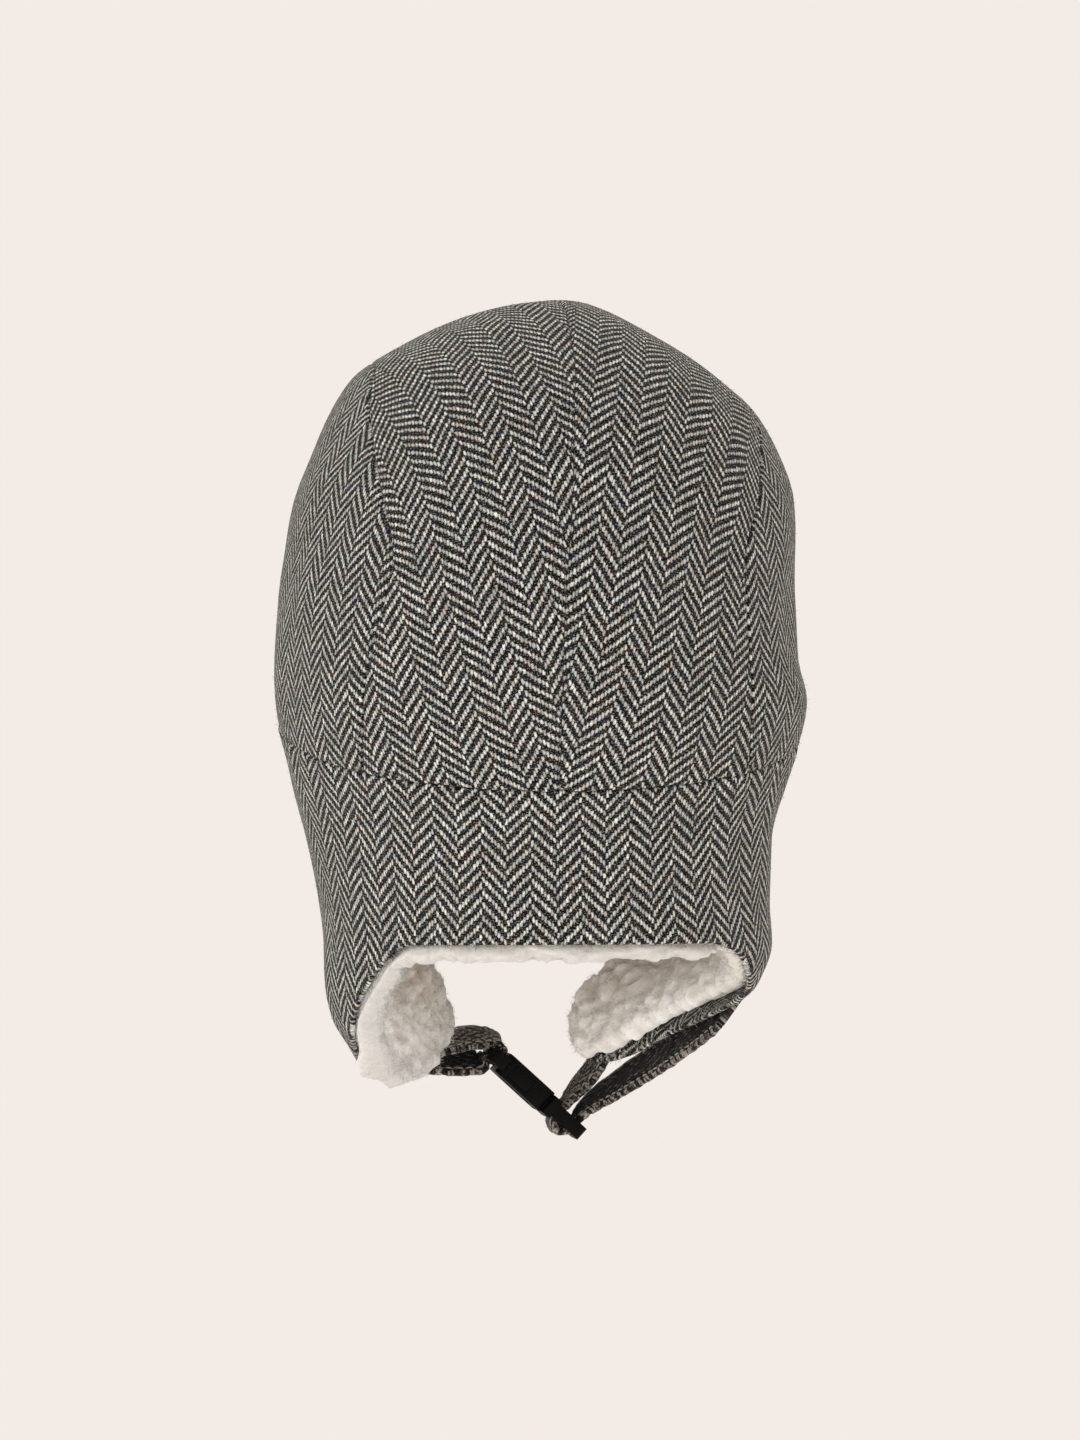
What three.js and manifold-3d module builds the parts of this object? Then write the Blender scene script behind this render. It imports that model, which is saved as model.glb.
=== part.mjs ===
// Aviator hat: a fleece-lined tweed cap with ear flaps and a buckled chin strap, in its worn form.
// Millimetres. +Z is up, the face looks along -Y and the wearer's left side is +X.
// The origin is the inside of the lining at the top of the crown, where the head bears.
import * as THREE from "three";
import { mergeVertices } from "three/addons/utils/BufferGeometryUtils.js";
import Module from "manifold-3d";

const wasm = await Module();
wasm.setup();

// Driving dimensions
const GAP = 0.3; // between neighbouring pieces
const TWEED = 2.2; // tweed with its backing
const FLEECE = 7.5; // lining of crown and nape, pile included
const FLAP_FLEECE = 10; // lining of the ear flaps
const APEX = TWEED + GAP + FLEECE; // outer top of the crown, so that the inside top is at z = 0
const SEAM_DIP = 0.8; // how far the tweed dips into each seam
const ROUNDNESS = 2.15; // exponent of the horizontal sections, 2 being an ellipse
const SEAM_DEPTH = 148.5; // of the crown's lower seam over the ears, below the apex
const SEAM_SLOPE = 0.225; // how much lower that seam lies for each millimetre towards the back
const BAND_FRONT = 116; // degrees from the back at which the ear flaps start under that seam
const FLAP_LINING_START = 0.38; // share of the way from back to front where a flap's own lining starts
const FLAP_EASE = 0.45; // further room between tweed and fleece where the flaps twist
const FLEECE_LUMP = 0.8; // height of the soft lumps inside the flaps
const FLEECE_LUMP_LENGTH = 17;

// Outer surface: the half-widths of its horizontal sections at each depth below the apex. "middle" is how far
// the centre seam has wandered to the wearer's left.
const SECTIONS = [
  { depth: 0, middle: -5.5, left: -5.5, right: 5.5, back: 0, front: 0 },
  { depth: 4, middle: -5.5, left: 20.5, right: 21.5, back: 31, front: 29 },
  { depth: 14, middle: -5, left: 44.5, right: 41.5, back: 57, front: 54 },
  { depth: 28, middle: -4.5, left: 65.3, right: 61.8, back: 78, front: 74 },
  { depth: 41, middle: -3, left: 73, right: 75, back: 90, front: 85 },
  { depth: 55, middle: -2, left: 79, right: 82, back: 98, front: 93 },
  { depth: 69, middle: -1, left: 84.5, right: 86.5, back: 104, front: 99 },
  { depth: 83, middle: 0, left: 87.5, right: 87.7, back: 108, front: 102 },
  { depth: 104, middle: 2, left: 90.3, right: 86.8, back: 110, front: 105 },
  { depth: 124, middle: 2.3, left: 91.6, right: 88.3, back: 107, front: 106 },
  { depth: 138, middle: 2.4, left: 91, right: 91.4, back: 103, front: 106 },
  { depth: 152, middle: 2.3, left: 89, right: 89, back: 98, front: 105 },
  { depth: 166, middle: 2.2, left: 86, right: 84.7, back: 92, front: 104 },
  { depth: 186, middle: 2.2, left: 80.2, right: 79.3, back: 84, front: 101 },
  { depth: 207, middle: 2.2, left: 76.2, right: 78.7, back: 79, front: 96 },
  { depth: 222, middle: 2.2, left: 74, right: 80, back: 77, front: 92 },
  { depth: 235, middle: 2, left: 73.4, right: 75.3, back: 76, front: 89 },
  { depth: 247, middle: 2, left: 71.5, right: 62.5, back: 75, front: 86 },
  { depth: 260, middle: 2, left: 64.5, right: 53.5, back: 74, front: 82 },
  { depth: 276, middle: 2, left: 56, right: 48, back: 72, front: 76 },
];

// The side seams: how far from the middle plane they run, at each angle from the back seam over the top.
const SIDE_SEAMS = [
  { turn: 0, left: 66.5, right: 65 },
  { turn: 20, left: 67, right: 65 },
  { turn: 33, left: 64, right: 63.5 },
  { turn: 47, left: 58, right: 62 },
  { turn: 62, left: 61.5, right: 68 },
  { turn: 78, left: 63, right: 71 },
  { turn: 96, left: 58.5, right: 68 },
  { turn: 120, left: 58, right: 65 },
  { turn: 150, left: 62, right: 64 },
  { turn: 180, left: 65, right: 65 },
];

// The lower hem of nape and flaps, from the middle of the back (share 0) to each flap's front edge (share 1).
const HEM_LEFT = [
  { share: 0, turn: 0, depth: 220.5 },
  { share: 0.28, turn: 40, depth: 221 },
  { share: 0.38, turn: 49.5, depth: 226 },
  { share: 0.44, turn: 56, depth: 232.5 },
  { share: 0.5, turn: 64, depth: 241 },
  { share: 0.57, turn: 75, depth: 252.5 },
  { share: 0.65, turn: 91, depth: 260.5 },
  { share: 0.75, turn: 109, depth: 267.5 },
  { share: 0.85, turn: 127, depth: 271 },
  { share: 0.92, turn: 142, depth: 268 },
  { share: 0.97, turn: 153, depth: 260.5 },
  { share: 1, turn: 160, depth: 248 },
];
const HEM_RIGHT = [
  { share: 0, turn: 0, depth: 220.5 },
  { share: 0.28, turn: 40, depth: 220.5 },
  { share: 0.38, turn: 50, depth: 223 },
  { share: 0.44, turn: 57, depth: 228 },
  { share: 0.52, turn: 70, depth: 237 },
  { share: 0.62, turn: 88, depth: 245 },
  { share: 0.72, turn: 105, depth: 251 },
  { share: 0.8, turn: 120, depth: 257 },
  { share: 0.88, turn: 134, depth: 263.5 },
  { share: 0.93, turn: 146, depth: 266 },
  { share: 0.97, turn: 153.5, depth: 263 },
  { share: 1, turn: 159.5, depth: 251 },
];

// How far the fleece hangs past the tweed's hem, or stops short of it where the number is negative.
const FLEECE_PAST_LEFT = [
  { share: 0, past: 5.5 },
  { share: 0.3, past: 5.5 },
  { share: 0.45, past: 3 },
  { share: 0.62, past: 7 },
  { share: 0.8, past: 6 },
  { share: 1, past: 2.5 },
];
const FLEECE_PAST_RIGHT = [
  { share: 0, past: 5.5 },
  { share: 0.26, past: 5 },
  { share: 0.42, past: -2.5 },
  { share: 0.9, past: -3 },
  { share: 0.97, past: 0.5 },
  { share: 1, past: 0.5 },
];

// Grid divisions
const CROWN_TURNS = 24; // from the back seam over the top to the forehead
const PANEL_STEPS = 6; // across each crown panel
const BAND_ROWS = 8; // from the seam down to the hem
const BAND_SHARES = [
  0, 0.095, 0.19, 0.28, 0.33, 0.38, 0.44, 0.5, 0.56, 0.62, 0.68, 0.74, 0.8, 0.85, 0.89, 0.93, 0.97, 1,
];
const BAND_LENGTH = 160; // from the middle of the back round to a flap's front edge, at half its height
const NORMAL_STEP = 0.5; // half the distance over which the surface's slope is taken
const HALVINGS = 44; // of a path, to find where it meets the surface
const SEAM_PASSES = 12; // towards the depth at which a section meets the seam's plane

// Chin strap
const STRAP_WIDTH = 20;
const STRAP_THICK = 2.8;
const STRAP_PLANE = -76; // y of the buckle's middle
const SEWN_STEPS = 4;
const FREE_STEPS = 15;
const UPPER_STEPS = 6;
const LOWER_STEPS = 4;
const BAR_STEPS = 6; // in half a turn round a bar
const SHORT_WRAP = 5; // stations that the short strap has round its bar, before it turns back underneath

// The strap's stretches between its bars: places of its middle, and the way its width points there.
const SEWN_END = [
  { x: -26.5, y: -74.5, z: -257.4, wideX: -0.14, wideY: 0.98, wideZ: -0.1 },
  { x: -21.5, y: -76, z: -264, wideX: -0.14, wideY: 0.98, wideZ: -0.1 },
];
const FREE_END = [
  { x: -25.5, y: -76, z: -270.3, wideX: 0.02, wideY: 0.97, wideZ: -0.25 },
  { x: -34.5, y: -72, z: -263.5, wideX: 0.1, wideY: 0.9, wideZ: -0.44 },
  { x: -45, y: -60, z: -255.5, wideX: 0.22, wideY: 0.79, wideZ: -0.58 },
  { x: -53.5, y: -45, z: -248.3, wideX: 0.3, wideY: 0.68, wideZ: -0.68 },
  { x: -61.5, y: -29, z: -241.3, wideX: 0.45, wideY: 0.5, wideZ: -0.74 },
  { x: -68.3, y: -14, z: -235, wideX: 0.62, wideY: 0.3, wideZ: -0.72 },
];
const UPPER_LAYER = [
  { x: 21.5, y: -76, z: -247.6, wideX: 0, wideY: 0.94, wideZ: -0.34 },
  { x: 14, y: -76, z: -246.9, wideX: 0, wideY: 0.95, wideZ: -0.31 },
  { x: 8, y: -76, z: -247.8, wideX: 0, wideY: 0.98, wideZ: -0.19 },
];
const LOWER_LAYER = [
  { x: 13, y: -76, z: -255.2, wideX: 0, wideY: 0.92, wideZ: -0.4 },
  { x: 22, y: -76, z: -255.4, wideX: 0, wideY: 0.91, wideZ: -0.42 },
  { x: 31, y: -76, z: -255.6, wideX: 0, wideY: 0.94, wideZ: -0.35 },
];

// How far over the buckle's middle the strap is where it enters each slot.
const INNER_SLOT_RISE = 4;
const OUTER_SLOT_RISE = 3;
const SOCKET_SLOT_RISE = 3.2;

// Buckle
const BUCKLE_MIDDLE = new THREE.Vector3(-4.8, STRAP_PLANE, -266);
const BUCKLE_SLOPE = 42.4; // degrees that the buckle falls towards the wearer's right
const BUCKLE_LENGTH = 44.4;
const BUCKLE_WIDTH = 27;
const BUCKLE_THICK = 8.4;
const BUCKLE_CORNER = 3;
const CORNER_STEPS = 3;
const ADJUSTER_THICK = 5;
const SLOT_WIDTH = STRAP_WIDTH + 1;
const SLOT_LENGTH = 3.8;
const BAR = 2.8;
const BAR_SIDES = 8;
const BAR_SEAT = 0.5; // how far each end of a bar reaches into the frame
const END_BAR = 2.4;
const END_SETBACK = 0.6; // of the socket's frame from the outside of its end bar
const PLUG_BAR_DROP = 1.8; // of the plug's middle bar below the frame's middle
const SOCKET_BODY = 21; // length of the closed sleeve
const SOCKET_WALL = 1.5;
const SOCKET_FLOOR = 3; // solid length between the socket's slot and its hollow
const WINDOW_START = 4; // of the two side windows, from the sleeve's start
const WINDOW_LENGTH = 9;
const PRONG_LENGTH = 15;
const PRONG_WIDTH = 5;
const GUIDE_WIDTH = 6;
const GUIDE_SETBACK = 3; // of the guide's tip from the prongs' tips
const ROOT = 2; // how far guide and prongs reach into the plug's shoulders
const SHOULDER_STEP = 0.5; // of the shoulders below the socket's faces

// Interpolation through a table's rows, without overshoot between them.
function lookUp(rows, key, at, column) {
  const last = rows.length - 1;
  const clamped = Math.min(Math.max(at, rows[0][key]), rows[last][key]);
  let i = 0;
  while (i < last - 1 && clamped > rows[i + 1][key]) i++;
  const slope = (j) => (rows[j + 1][column] - rows[j][column]) / (rows[j + 1][key] - rows[j][key]);
  const tangent = (j) => {
    if (j === 0) return slope(0);
    if (j === last) return slope(last - 1);
    const before = slope(j - 1);
    const after = slope(j);
    return before * after <= 0 ? 0 : (2 * before * after) / (before + after);
  };
  const width = rows[i + 1][key] - rows[i][key];
  const t = (clamped - rows[i][key]) / width;
  const spread = t * t * (3 - 2 * t);
  return (
    rows[i][column] * (1 - spread) +
    rows[i + 1][column] * spread +
    width * t * (1 - t) * ((1 - t) * tangent(i) - t * tangent(i + 1))
  );
}

// The sections as squared half-widths from the centre seam, which makes the top of the crown round.
const SQUARED = SECTIONS.map((row) => ({
  depth: row.depth,
  middle: row.middle,
  left: (row.left - row.middle) ** 2,
  right: (row.right + row.middle) ** 2,
  back: row.back ** 2,
  front: row.front ** 2,
}));

function middleAt(depth) {
  return lookUp(SQUARED, "depth", depth, "middle");
}

function halfWidth(depth, column) {
  return Math.sqrt(Math.max(lookUp(SQUARED, "depth", depth, column), 1e-6));
}

// Above zero outside the outer surface, below zero inside it.
function beyond(point) {
  const depth = APEX - point.z;
  if (depth <= 0) return 1 - depth;
  const across = point.x - middleAt(depth);
  const side = across > 0 ? "left" : "right";
  const end = point.y > 0 ? "back" : "front";
  return (
    (Math.abs(across) / halfWidth(depth, side)) ** ROUNDNESS +
    (Math.abs(point.y) / halfWidth(depth, end)) ** ROUNDNESS -
    1
  );
}

function outwardNormal(point) {
  const at = (x, y, z) => beyond(new THREE.Vector3(point.x + x, point.y + y, point.z + z));
  return new THREE.Vector3(
    at(NORMAL_STEP, 0, 0) - at(-NORMAL_STEP, 0, 0),
    at(0, NORMAL_STEP, 0) - at(0, -NORMAL_STEP, 0),
    at(0, 0, NORMAL_STEP) - at(0, 0, -NORMAL_STEP),
  ).normalize();
}

// The point where the outer surface is met by a path that starts inside it and ends outside.
function meetSurface(path) {
  let inside = 0;
  let outside = 1;
  for (let i = 0; i < HALVINGS; i++) {
    const half = (inside + outside) / 2;
    if (beyond(path(half)) > 0) outside = half;
    else inside = half;
  }
  return path((inside + outside) / 2);
}

// The crown's lower seam lies in one plane that falls towards the back.
const FALL = Math.atan(SEAM_SLOPE);
const ALONG_SEAM_PLANE = new THREE.Vector3(0, Math.cos(FALL), -Math.sin(FALL));
const ABOVE_SEAM_PLANE = new THREE.Vector3(0, Math.sin(FALL), Math.cos(FALL));
const REACH = 260; // from the hub to a point that is outside the hat in every direction

function seamHub(lift) {
  return new THREE.Vector3(0, 0, APEX - SEAM_DEPTH).addScaledVector(ABOVE_SEAM_PLANE, lift);
}

function degrees(value) {
  return (value * Math.PI) / 180;
}

// A point of the crown at an angle over the top, at a share of the way from the centre seam to the side seam.
function centrePoint(share, turn) {
  const side = share < 0 ? "right" : "left";
  const seamX = Math.sign(share) * lookUp(SIDE_SEAMS, "turn", turn, side);
  const hub = seamHub(GAP / 2);
  const way = ALONG_SEAM_PLANE.clone()
    .multiplyScalar(Math.cos(degrees(turn)))
    .addScaledVector(ABOVE_SEAM_PLANE, Math.sin(degrees(turn)));
  const s = Math.abs(share);
  return meetSurface((r) => {
    const point = hub.clone().addScaledVector(way, r * REACH);
    point.x = middleAt(APEX - point.z) * (1 - s) + seamX * s;
    return point;
  });
}

function fromHub(direction, lift) {
  const hub = seamHub(lift);
  return meetSurface((r) => hub.clone().addScaledVector(direction, r * REACH));
}

// A point of the seam plane at an angle round from the back, in plan.
function seamPoint(side, turn, lift) {
  const flat = new THREE.Vector3(side * Math.sin(degrees(turn)), Math.cos(degrees(turn)), 0);
  flat.z = -SEAM_SLOPE * flat.y;
  return fromHub(flat.normalize(), lift);
}

function planTurn(point) {
  return (Math.atan2(Math.abs(point.x), point.y) * 180) / Math.PI;
}

// A point of a side panel: "drop" goes from 0 at the side seam to 1 at the crown's lower seam.
function sidePoint(side, drop, turn) {
  const top = centrePoint(side, turn);
  if (turn <= 0 || turn >= 180) return top;
  const backTurn = planTurn(centrePoint(side, 0));
  const frontTurn = planTurn(centrePoint(side, 180));
  const low = seamPoint(side, backTurn + ((frontTurn - backTurn) * turn) / 180, GAP / 2);
  const hub = seamHub(GAP / 2);
  const direction = top
    .sub(hub)
    .normalize()
    .multiplyScalar(1 - drop)
    .addScaledVector(low.sub(hub).normalize(), drop);
  return fromHub(direction.normalize(), GAP / 2);
}

// The whole crown in two numbers: "across" is 0 at the centre seam, 1 or -1 at the side seams, and 2 or -2
// at the lower seam over the ears.
function crownPoint(across, turn) {
  const side = Math.sign(across) || 1;
  return Math.abs(across) <= 1 ? centrePoint(across, turn) : sidePoint(side, Math.abs(across) - 1, turn);
}

// A point of a horizontal section, at an angle from the back towards the given side.
function sectionPoint(side, turn, depth) {
  const bent = (value) => Math.sign(value) * Math.abs(value) ** (2 / ROUNDNESS);
  const sine = bent(Math.sin(degrees(turn)));
  const cosine = bent(Math.cos(degrees(turn)));
  const end = cosine > 0 ? "back" : "front";
  return new THREE.Vector3(
    middleAt(depth) + side * sine * halfWidth(depth, side > 0 ? "left" : "right"),
    cosine * halfWidth(depth, end),
    APEX - depth,
  );
}

function seamDepthAt(side, turn) {
  let depth = SEAM_DEPTH;
  for (let i = 0; i < SEAM_PASSES; i++) depth = SEAM_DEPTH + SEAM_SLOPE * sectionPoint(side, turn, depth).y;
  return depth + GAP / 2;
}

// A point of the nape and flap piece: share goes from the back to a flap's front edge, drop from seam to hem.
function bandPoint(share, drop, past = 0) {
  const side = share < 0 ? -1 : 1;
  const rows = side > 0 ? HEM_LEFT : HEM_RIGHT;
  const s = Math.abs(share);
  const hemTurn = lookUp(rows, "share", s, "turn");
  const hemDepth = lookUp(rows, "share", s, "depth") + past;
  const topTurn = BAND_FRONT * s;
  const topDepth = seamDepthAt(side, topTurn);
  return sectionPoint(side, topTurn + (hemTurn - topTurn) * drop, topDepth + (hemDepth - topDepth) * drop);
}

// A closed sheet: a grid of outer points, the same grid moved inwards along the normals, and a rim wall.
// outerInset and innerInset give each point's distance below the outer surface.
function sheet(columns, rows, pointAt, outerInset, innerInset) {
  const outer = [];
  const inner = [];
  columns.forEach((u, i) =>
    rows.forEach((v, j) => {
      const point = pointAt(u, v, i, j);
      const normal = outwardNormal(point);
      outer.push(point.clone().addScaledVector(normal, -outerInset(point, u, v)));
      inner.push(point.clone().addScaledVector(normal, -innerInset(point, u, v)));
    }),
  );
  const count = outer.length;
  const index = (i, j) => i * rows.length + j;
  const faces = [];
  const quad = (a, b, c, d) => faces.push(a, b, c, a, c, d);
  for (let i = 0; i < columns.length - 1; i++)
    for (let j = 0; j < rows.length - 1; j++) {
      const [a, b, c, d] = [index(i, j), index(i + 1, j), index(i + 1, j + 1), index(i, j + 1)];
      quad(a, b, c, d);
      quad(a + count, d + count, c + count, b + count);
    }
  const wall = (a, b) => quad(b, a, a + count, b + count);
  const lastRow = rows.length - 1;
  const lastColumn = columns.length - 1;
  for (let i = 0; i < lastColumn; i++) {
    wall(index(i, 0), index(i + 1, 0));
    wall(index(i + 1, lastRow), index(i, lastRow));
  }
  for (let j = 0; j < lastRow; j++) {
    wall(index(lastColumn, j), index(lastColumn, j + 1));
    wall(index(0, j + 1), index(0, j));
  }
  return closed([...outer, ...inner], faces);
}

// A geometry from points and triangles, without the triangles that have no area and with its faces outwards.
function closed(points, faces) {
  const raw = new THREE.BufferGeometry().setFromPoints(points);
  raw.setIndex(faces);
  const merged = mergeVertices(raw, 1e-3);
  const kept = [];
  const index = merged.index.array;
  for (let i = 0; i < index.length; i += 3) {
    const [a, b, c] = [index[i], index[i + 1], index[i + 2]];
    if (a !== b && b !== c && a !== c) kept.push(a, b, c);
  }
  const at = (k) => new THREE.Vector3().fromBufferAttribute(merged.attributes.position, k);
  let volume = 0;
  for (let i = 0; i < kept.length; i += 3) volume += at(kept[i]).dot(at(kept[i + 1]).cross(at(kept[i + 2])));
  merged.setIndex(volume < 0 ? kept.reverse() : kept);
  merged.computeVertexNormals();
  return merged;
}

function evenly(from, to, steps) {
  return Array.from({ length: steps + 1 }, (_, i) => from + ((to - from) * i) / steps);
}

const TURNS = evenly(0, 180, CROWN_TURNS);

// How deep the tweed dips at a point whose shares run to the ends of the given lists.
function dipAtEnds(columns, rows) {
  const ends = (list, value) => value === list[0] || value === list[list.length - 1];
  return (point, u, v) => (ends(columns, u) || ends(rows, v) ? SEAM_DIP : 0);
}

// Where a panel meets the next one along a seam, it stops half a gap short of it.
const SEAM_INSET = GAP / 2 / SIDE_SEAMS[0].left;

function crownPanel(from, to) {
  const start = from === -2 ? from : from + SEAM_INSET;
  const end = to === 2 ? to : to - SEAM_INSET;
  const columns = evenly(start, end, PANEL_STEPS);
  return sheet(columns, TURNS, crownPoint, dipAtEnds(columns, TURNS), () => TWEED);
}

// Half of the crown's lining, from the centre seam down to the lower seam over one ear.
function crownLining(from, to) {
  const columns = evenly(from, to, 2 * PANEL_STEPS);
  return sheet(columns, TURNS, crownPoint, () => TWEED + GAP, () => TWEED + GAP + FLEECE);
}

const DROPS = evenly(0, 1, BAND_ROWS);
const ALL_SHARES = [...BAND_SHARES.slice(1).reverse().map((s) => -s), ...BAND_SHARES];

function earflapShell() {
  return sheet(ALL_SHARES, DROPS, (s, drop) => bandPoint(s, drop), dipAtEnds(ALL_SHARES, DROPS), () => TWEED);
}

function pastHem(share) {
  const rows = share < 0 ? FLEECE_PAST_RIGHT : FLEECE_PAST_LEFT;
  return lookUp(rows, "share", Math.abs(share), "past");
}

function lump(point) {
  const wave = (value, phase) => Math.sin((2 * Math.PI * value) / FLEECE_LUMP_LENGTH + phase);
  return FLEECE_LUMP * wave(point.x + point.y, 0) * wave(point.z, point.x / FLEECE_LUMP_LENGTH);
}

// A stretch of the lining under nape or flap, between two shares of the way round.
function bandLining(shares, thick, lumpy) {
  const columns = [...shares];
  columns[0] += GAP / 2 / BAND_LENGTH;
  columns[columns.length - 1] -= GAP / 2 / BAND_LENGTH;
  const at = (s, drop) => bandPoint(s, drop, drop === 1 ? pastHem(s) : 0);
  return sheet(
    columns,
    DROPS,
    at,
    () => TWEED + GAP + FLAP_EASE,
    (point) => TWEED + GAP + FLAP_EASE + thick + (lumpy ? lump(point) : 0),
  );
}

const NAPE_SHARES = ALL_SHARES.filter((s) => Math.abs(s) <= FLAP_LINING_START);
const FLAP_SHARES = BAND_SHARES.filter((s) => s >= FLAP_LINING_START);

// A strap: a rectangle carried along a list of stations, each with its middle and the way its width points.
function ribbon(stations) {
  const points = [];
  stations.forEach(({ at, wide }, k) => {
    const before = stations[Math.max(k - 1, 0)].at;
    const after = stations[Math.min(k + 1, stations.length - 1)].at;
    const along = after.clone().sub(before).normalize();
    const across = wide.clone().addScaledVector(along, -wide.dot(along)).normalize();
    const up = along.clone().cross(across);
    const corner = (w, t) =>
      at.clone().addScaledVector(across, (w * STRAP_WIDTH) / 2).addScaledVector(up, (t * STRAP_THICK) / 2);
    points.push(corner(-1, -1), corner(1, -1), corner(1, 1), corner(-1, 1));
  });
  const faces = [];
  const quad = (a, b, c, d) => faces.push(a, b, c, a, c, d);
  for (let k = 0; k < stations.length - 1; k++)
    for (let i = 0; i < 4; i++) {
      const next = (i + 1) % 4;
      quad(4 * k + i, 4 * k + next, 4 * k + 4 + next, 4 * k + 4 + i);
    }
  const end = 4 * (stations.length - 1);
  quad(3, 2, 1, 0);
  quad(end, end + 1, end + 2, end + 3);
  return closed(points, faces);
}

// The buckle's own frame: "along" runs down its length to the wearer's right, "out" is its upper face.
const BUCKLE_ALONG = new THREE.Vector3(-Math.cos(degrees(BUCKLE_SLOPE)), 0, -Math.sin(degrees(BUCKLE_SLOPE)));
const BUCKLE_OUT = new THREE.Vector3(-Math.sin(degrees(BUCKLE_SLOPE)), 0, Math.cos(degrees(BUCKLE_SLOPE)));
const BUCKLE_END = BUCKLE_LENGTH / 2;
const ACROSS = new THREE.Vector3(0, 1, 0);

function onBuckle(along, out) {
  return BUCKLE_MIDDLE.clone().addScaledVector(BUCKLE_ALONG, along).addScaledVector(BUCKLE_OUT, out);
}

// Half a turn of strap round a bar, from the side nearer the buckle's middle to the side nearer its end.
function roundBar(middle, height, end) {
  const radius = BAR / 2 + GAP + STRAP_THICK / 2;
  return evenly(0, 180, BAR_STEPS).map((turn) => ({
    at: onBuckle(middle - end * radius * Math.cos(degrees(turn)), height - radius * Math.sin(degrees(turn))),
    wide: ACROSS,
  }));
}

// Places of the plug's two slots and the bar between them, and of the socket's slot and end bar.
const PLUG_OUTER_SLOT = BUCKLE_END - END_BAR - SLOT_LENGTH / 2;
const PLUG_BAR = PLUG_OUTER_SLOT - SLOT_LENGTH / 2 - BAR / 2;
const PLUG_INNER_SLOT = PLUG_BAR - BAR / 2 - SLOT_LENGTH / 2;
const SOCKET_BAR = -BUCKLE_END + BAR / 2;
const SOCKET_SLOT = SOCKET_BAR + BAR / 2 + SLOT_LENGTH / 2;

function stationsOf(rows) {
  return rows.map(({ x, y, z, wideX, wideY, wideZ }) => ({
    at: new THREE.Vector3(x, y, z),
    wide: new THREE.Vector3(wideX, wideY, wideZ).normalize(),
  }));
}

function overSlot(along, rise) {
  return { at: onBuckle(along, rise), wide: ACROSS };
}

// A smooth run of stations through the given ones.
function smooth(stations, steps) {
  const middle = new THREE.CatmullRomCurve3(stations.map((s) => s.at));
  const last = stations.length - 1;
  return evenly(0, 1, steps).map((t) => {
    const k = Math.min(Math.floor(t * last), last - 1);
    const wide = stations[k].wide.clone().lerp(stations[k + 1].wide, t * last - k);
    return { at: middle.getPoint(t), wide };
  });
}

// The long strap: sewn under the right flap's tip, down through the inner slot, round the bar, up through the
// outer slot and back along the outside of the flap to its cut end.
function strapRight() {
  const sewn = smooth([...stationsOf(SEWN_END), overSlot(PLUG_INNER_SLOT, INNER_SLOT_RISE)], SEWN_STEPS);
  const wrap = roundBar(PLUG_BAR, -PLUG_BAR_DROP, 1);
  const free = smooth([overSlot(PLUG_OUTER_SLOT, OUTER_SLOT_RISE), ...stationsOf(FREE_END)], FREE_STEPS);
  return ribbon([...sewn, ...wrap, ...free]);
}

// The short strap: from the left flap's front corner over and round the socket's bar, and back underneath.
function strapLeft() {
  const upper = smooth([...stationsOf(UPPER_LAYER), overSlot(SOCKET_SLOT, SOCKET_SLOT_RISE)], UPPER_STEPS);
  const wrap = roundBar(SOCKET_BAR, 0, -1).slice(0, SHORT_WRAP);
  const lower = smooth(stationsOf(LOWER_LAYER), LOWER_STEPS);
  return ribbon([...upper, ...wrap, ...lower]);
}

function solidOf(geometry) {
  const bare = geometry.clone();
  bare.deleteAttribute("normal");
  bare.deleteAttribute("uv");
  const merged = mergeVertices(bare, 1e-4);
  return new wasm.Manifold(
    new wasm.Mesh({
      numProp: 3,
      vertProperties: new Float32Array(merged.attributes.position.array),
      triVerts: new Uint32Array(merged.index.array),
    }),
  );
}

function geometryOf(solid) {
  const mesh = solid.getMesh();
  const geometry = new THREE.BufferGeometry();
  geometry.setAttribute("position", new THREE.BufferAttribute(new Float32Array(mesh.vertProperties), 3));
  geometry.setIndex(new THREE.BufferAttribute(new Uint32Array(mesh.triVerts), 1));
  geometry.computeVertexNormals();
  return geometry;
}

// A box in the buckle's own frame, between two places along its length.
function block(from, to, width, thick, at = 0) {
  return solidOf(new THREE.BoxGeometry(to - from, width, thick).translate((from + to) / 2, at, 0));
}

// A flat plate with rounded corners, in the buckle's own frame.
function plate(from, to, width, thick) {
  const [x, y, r] = [to - from, width, BUCKLE_CORNER];
  const outline = new THREE.Shape();
  outline.moveTo(r, 0);
  outline.lineTo(x - r, 0);
  outline.absarc(x - r, r, r, -Math.PI / 2, 0);
  outline.lineTo(x, y - r);
  outline.absarc(x - r, y - r, r, 0, Math.PI / 2);
  outline.lineTo(r, y);
  outline.absarc(r, y - r, r, Math.PI / 2, Math.PI);
  outline.lineTo(0, r);
  outline.absarc(r, r, r, Math.PI, 1.5 * Math.PI);
  const settings = { depth: thick, bevelEnabled: false, curveSegments: CORNER_STEPS };
  return solidOf(new THREE.ExtrudeGeometry(outline, settings).translate(from, -width / 2, -thick / 2));
}

// A round bar across the buckle.
function bar(at, height) {
  const length = SLOT_WIDTH + 2 * BAR_SEAT;
  return solidOf(new THREE.CylinderGeometry(BAR / 2, BAR / 2, length, BAR_SIDES).translate(at, 0, height));
}

// What a slot takes away: it is longer than the frame is thick.
function slot(from, to) {
  return block(from, to, SLOT_WIDTH, 2 * BUCKLE_THICK);
}

const SOCKET_START = -BUCKLE_END + BAR + SLOT_LENGTH;
const SOCKET_MOUTH = SOCKET_START + SOCKET_BODY;
const PLUG_START = SOCKET_MOUTH + GAP;

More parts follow.
